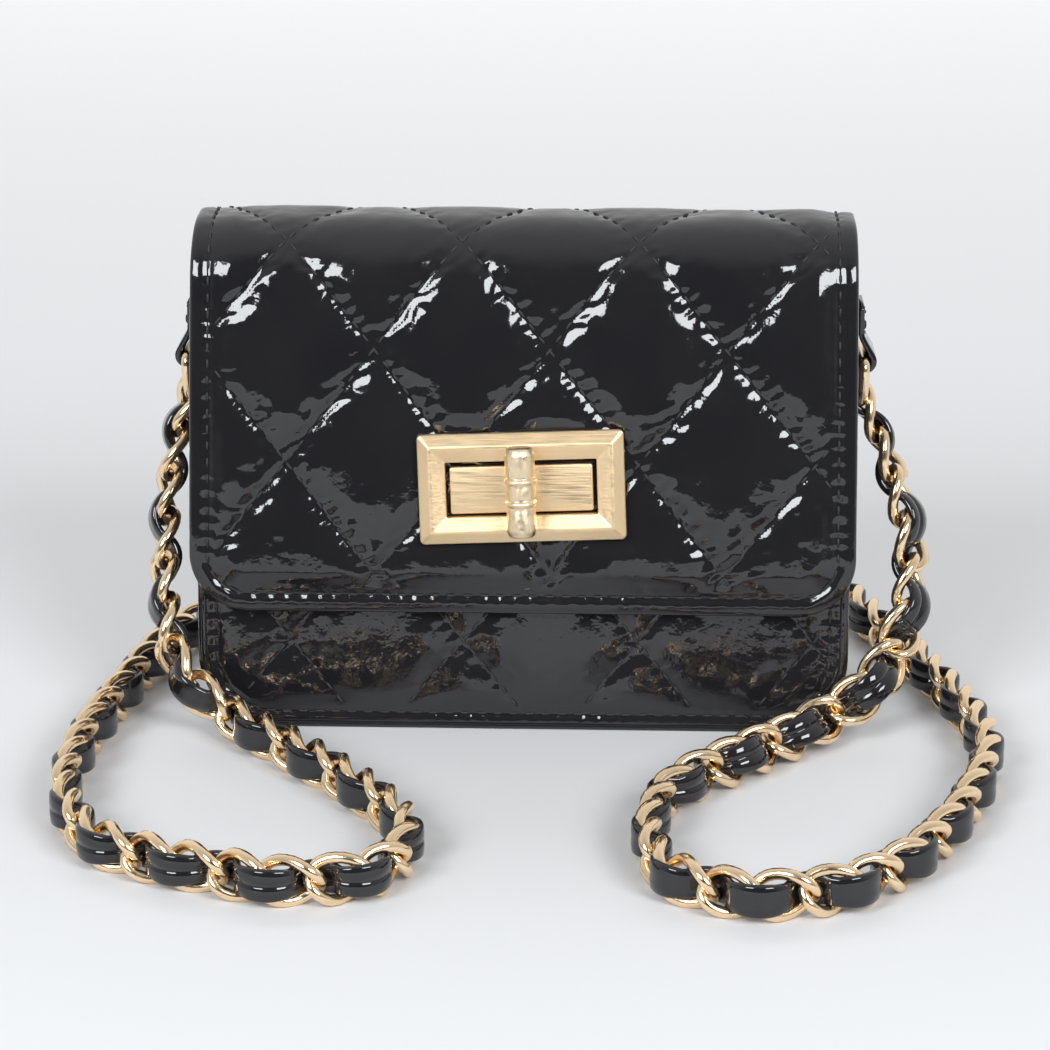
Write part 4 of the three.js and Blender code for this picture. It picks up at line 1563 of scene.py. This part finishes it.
@dataclass
class Studio:
    """A pale floor, soft boxes and the camera."""

    distance: float = 0.700
    elevation: float = math.radians(18.0)
    azimuth: float = math.radians(2.0)
    aim: tuple[float, float, float] = (0.0005, -0.018, 0.042)
    sensor: float = 36.0
    focal: float = 120.0
    near_floor: float = 0.42
    far_floor: float = 6.0

    def build(self) -> None:
        """Builds the stage."""
        self.floor()
        self.world()
        for box in (
            SoftBox("key_left", (-0.60, -0.95, 0.70), (0.54, 0.45), 11.0, color=(0.94, 0.97, 1.0)),
            SoftBox("key_right", (0.64, -0.95, 0.70), (0.54, 0.45), 11.0, color=(0.94, 0.97, 1.0)),
            SoftBox("far_box", (0.0, 1.2, 1.2), (2.4, 1.0), 12.5, (0.0, 1.2, 0.0), mirrored=False),
        ):
            box.hang()
        self.camera()
        scene = bpy.context.scene
        scene.view_settings.view_transform = "Standard"
        scene.view_settings.look = "None"

    def floor(self) -> None:
        """Lays the floor: a near disc that shows in reflections, and the rest of the table, which doesn't."""
        # The paper's colour is painted darker near the bag and paler at the back, and it glows far away:
        # painted light that evens out the floor.
        paper = Paper("paper_painted_light", (0.71, 0.712, 0.72), (0.93, 0.935, 0.945), 0.1, 0.9)
        near = self.disc("floor_near", 0.0, self.near_floor, paper)
        far = self.disc("floor_far", self.near_floor, self.far_floor, paper)
        far.visible_glossy = False
        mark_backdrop(near, far)

    @staticmethod
    def disc(name: str, inner: float, outer: float, finish: Any, sides: int = 96) -> bpy.types.Object:
        """Returns a flat ring or disc at floor level."""
        rings = [np.pad(circle(r, sides), ((0, 0), (0, 1))) for r in (inner, outer)]
        mesh = bpy.data.meshes.new(name)
        if inner > 0:
            faces = [(k, sides + k, sides + (k + 1) % sides, (k + 1) % sides) for k in range(sides)]
            mesh.from_pydata(np.vstack(rings).tolist(), [], faces)
        else:
            mesh.from_pydata(rings[1].tolist(), [], [tuple(range(sides))])
        mesh.materials.append(material(finish))
        made = bpy.data.objects.new(name, mesh)
        bpy.context.scene.collection.objects.link(made)
        return made

    @staticmethod
    def world() -> None:
        """Fills the room: pale where it is looked at, dim where it lights or is reflected."""
        world = bpy.data.worlds.new("room")
        world.use_nodes = True
        tree = world.node_tree
        tree.nodes.clear()
        out = tree.nodes.new("ShaderNodeOutputWorld")
        rays = tree.nodes.new("ShaderNodeLightPath")
        way = tree.nodes.new("ShaderNodeTexCoord")
        split = tree.nodes.new("ShaderNodeSeparateXYZ")
        half = tree.nodes.new("ShaderNodeMapRange")
        ramp = tree.nodes.new("ShaderNodeValToRGB")
        half.inputs["From Min"].default_value = -1.0
        Shader.stops(ramp.color_ramp, ROOM_MIRRORED)
        for source, target in (
            (way.outputs["Generated"], split.inputs[0]), (split.outputs["Y"], half.inputs["Value"]),
            (half.outputs["Result"], ramp.inputs["Fac"]),
        ):
            tree.links.new(source, target)
        shown = None
        for ray, strength in ((None, ROOM_LIGHT), ("Is Glossy Ray", 1.0), ("Is Camera Ray", ROOM_SEEN)):
            room = tree.nodes.new("ShaderNodeBackground")
            room.inputs["Color"].default_value = ROOM_COLOR
            room.inputs["Strength"].default_value = strength
            if ray is None:
                shown = room
                continue
            if ray == "Is Glossy Ray":
                tree.links.new(ramp.outputs[0], room.inputs["Color"])
            mix = tree.nodes.new("ShaderNodeMixShader")
            tree.links.new(rays.outputs[ray], mix.inputs[0])
            tree.links.new(shown.outputs[0], mix.inputs[1])
            tree.links.new(room.outputs[0], mix.inputs[2])
            shown = mix
        tree.links.new(shown.outputs[0], out.inputs["Surface"])
        bpy.context.scene.world = world

    def camera(self) -> None:
        """Sets the camera."""
        data = bpy.data.cameras.new("camera")
        data.sensor_width = self.sensor
        data.lens = self.focal
        data.clip_end = 50.0
        camera = bpy.data.objects.new("camera", data)
        flat = math.cos(self.elevation) * self.distance
        camera.location = (self.aim[0] + flat * math.sin(self.azimuth),
                           self.aim[1] - flat * math.cos(self.azimuth),
                           self.aim[2] + self.distance * math.sin(self.elevation))
        point_at(camera, self.aim)
        bpy.context.scene.collection.objects.link(camera)
        bpy.context.scene.camera = camera


def corners() -> list[list[float]]:
    """Returns the shown object's lowest and highest corners as plain lists."""
    return [[float(v) for v in corner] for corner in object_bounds()]


def main() -> None:
    """Builds the purse in order."""
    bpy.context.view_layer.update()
    Studio().build()
    LOG.info("stage and camera")
    steps: tuple[tuple[str, Any], ...] = (
        ("strap", Strap()), ("left ring", RingAndTab(-1)), ("right ring", RingAndTab(1)),
        ("pouch", Body()), ("flap", Flap()), ("turn lock", TurnLock()),
    )
    for name, part in steps:
        pieces = part.dress()
        LOG.info("%s: %s", name, ", ".join(piece.name for piece in pieces))
    bpy.context.view_layer.update()


if __name__ == "__main__":
    main()
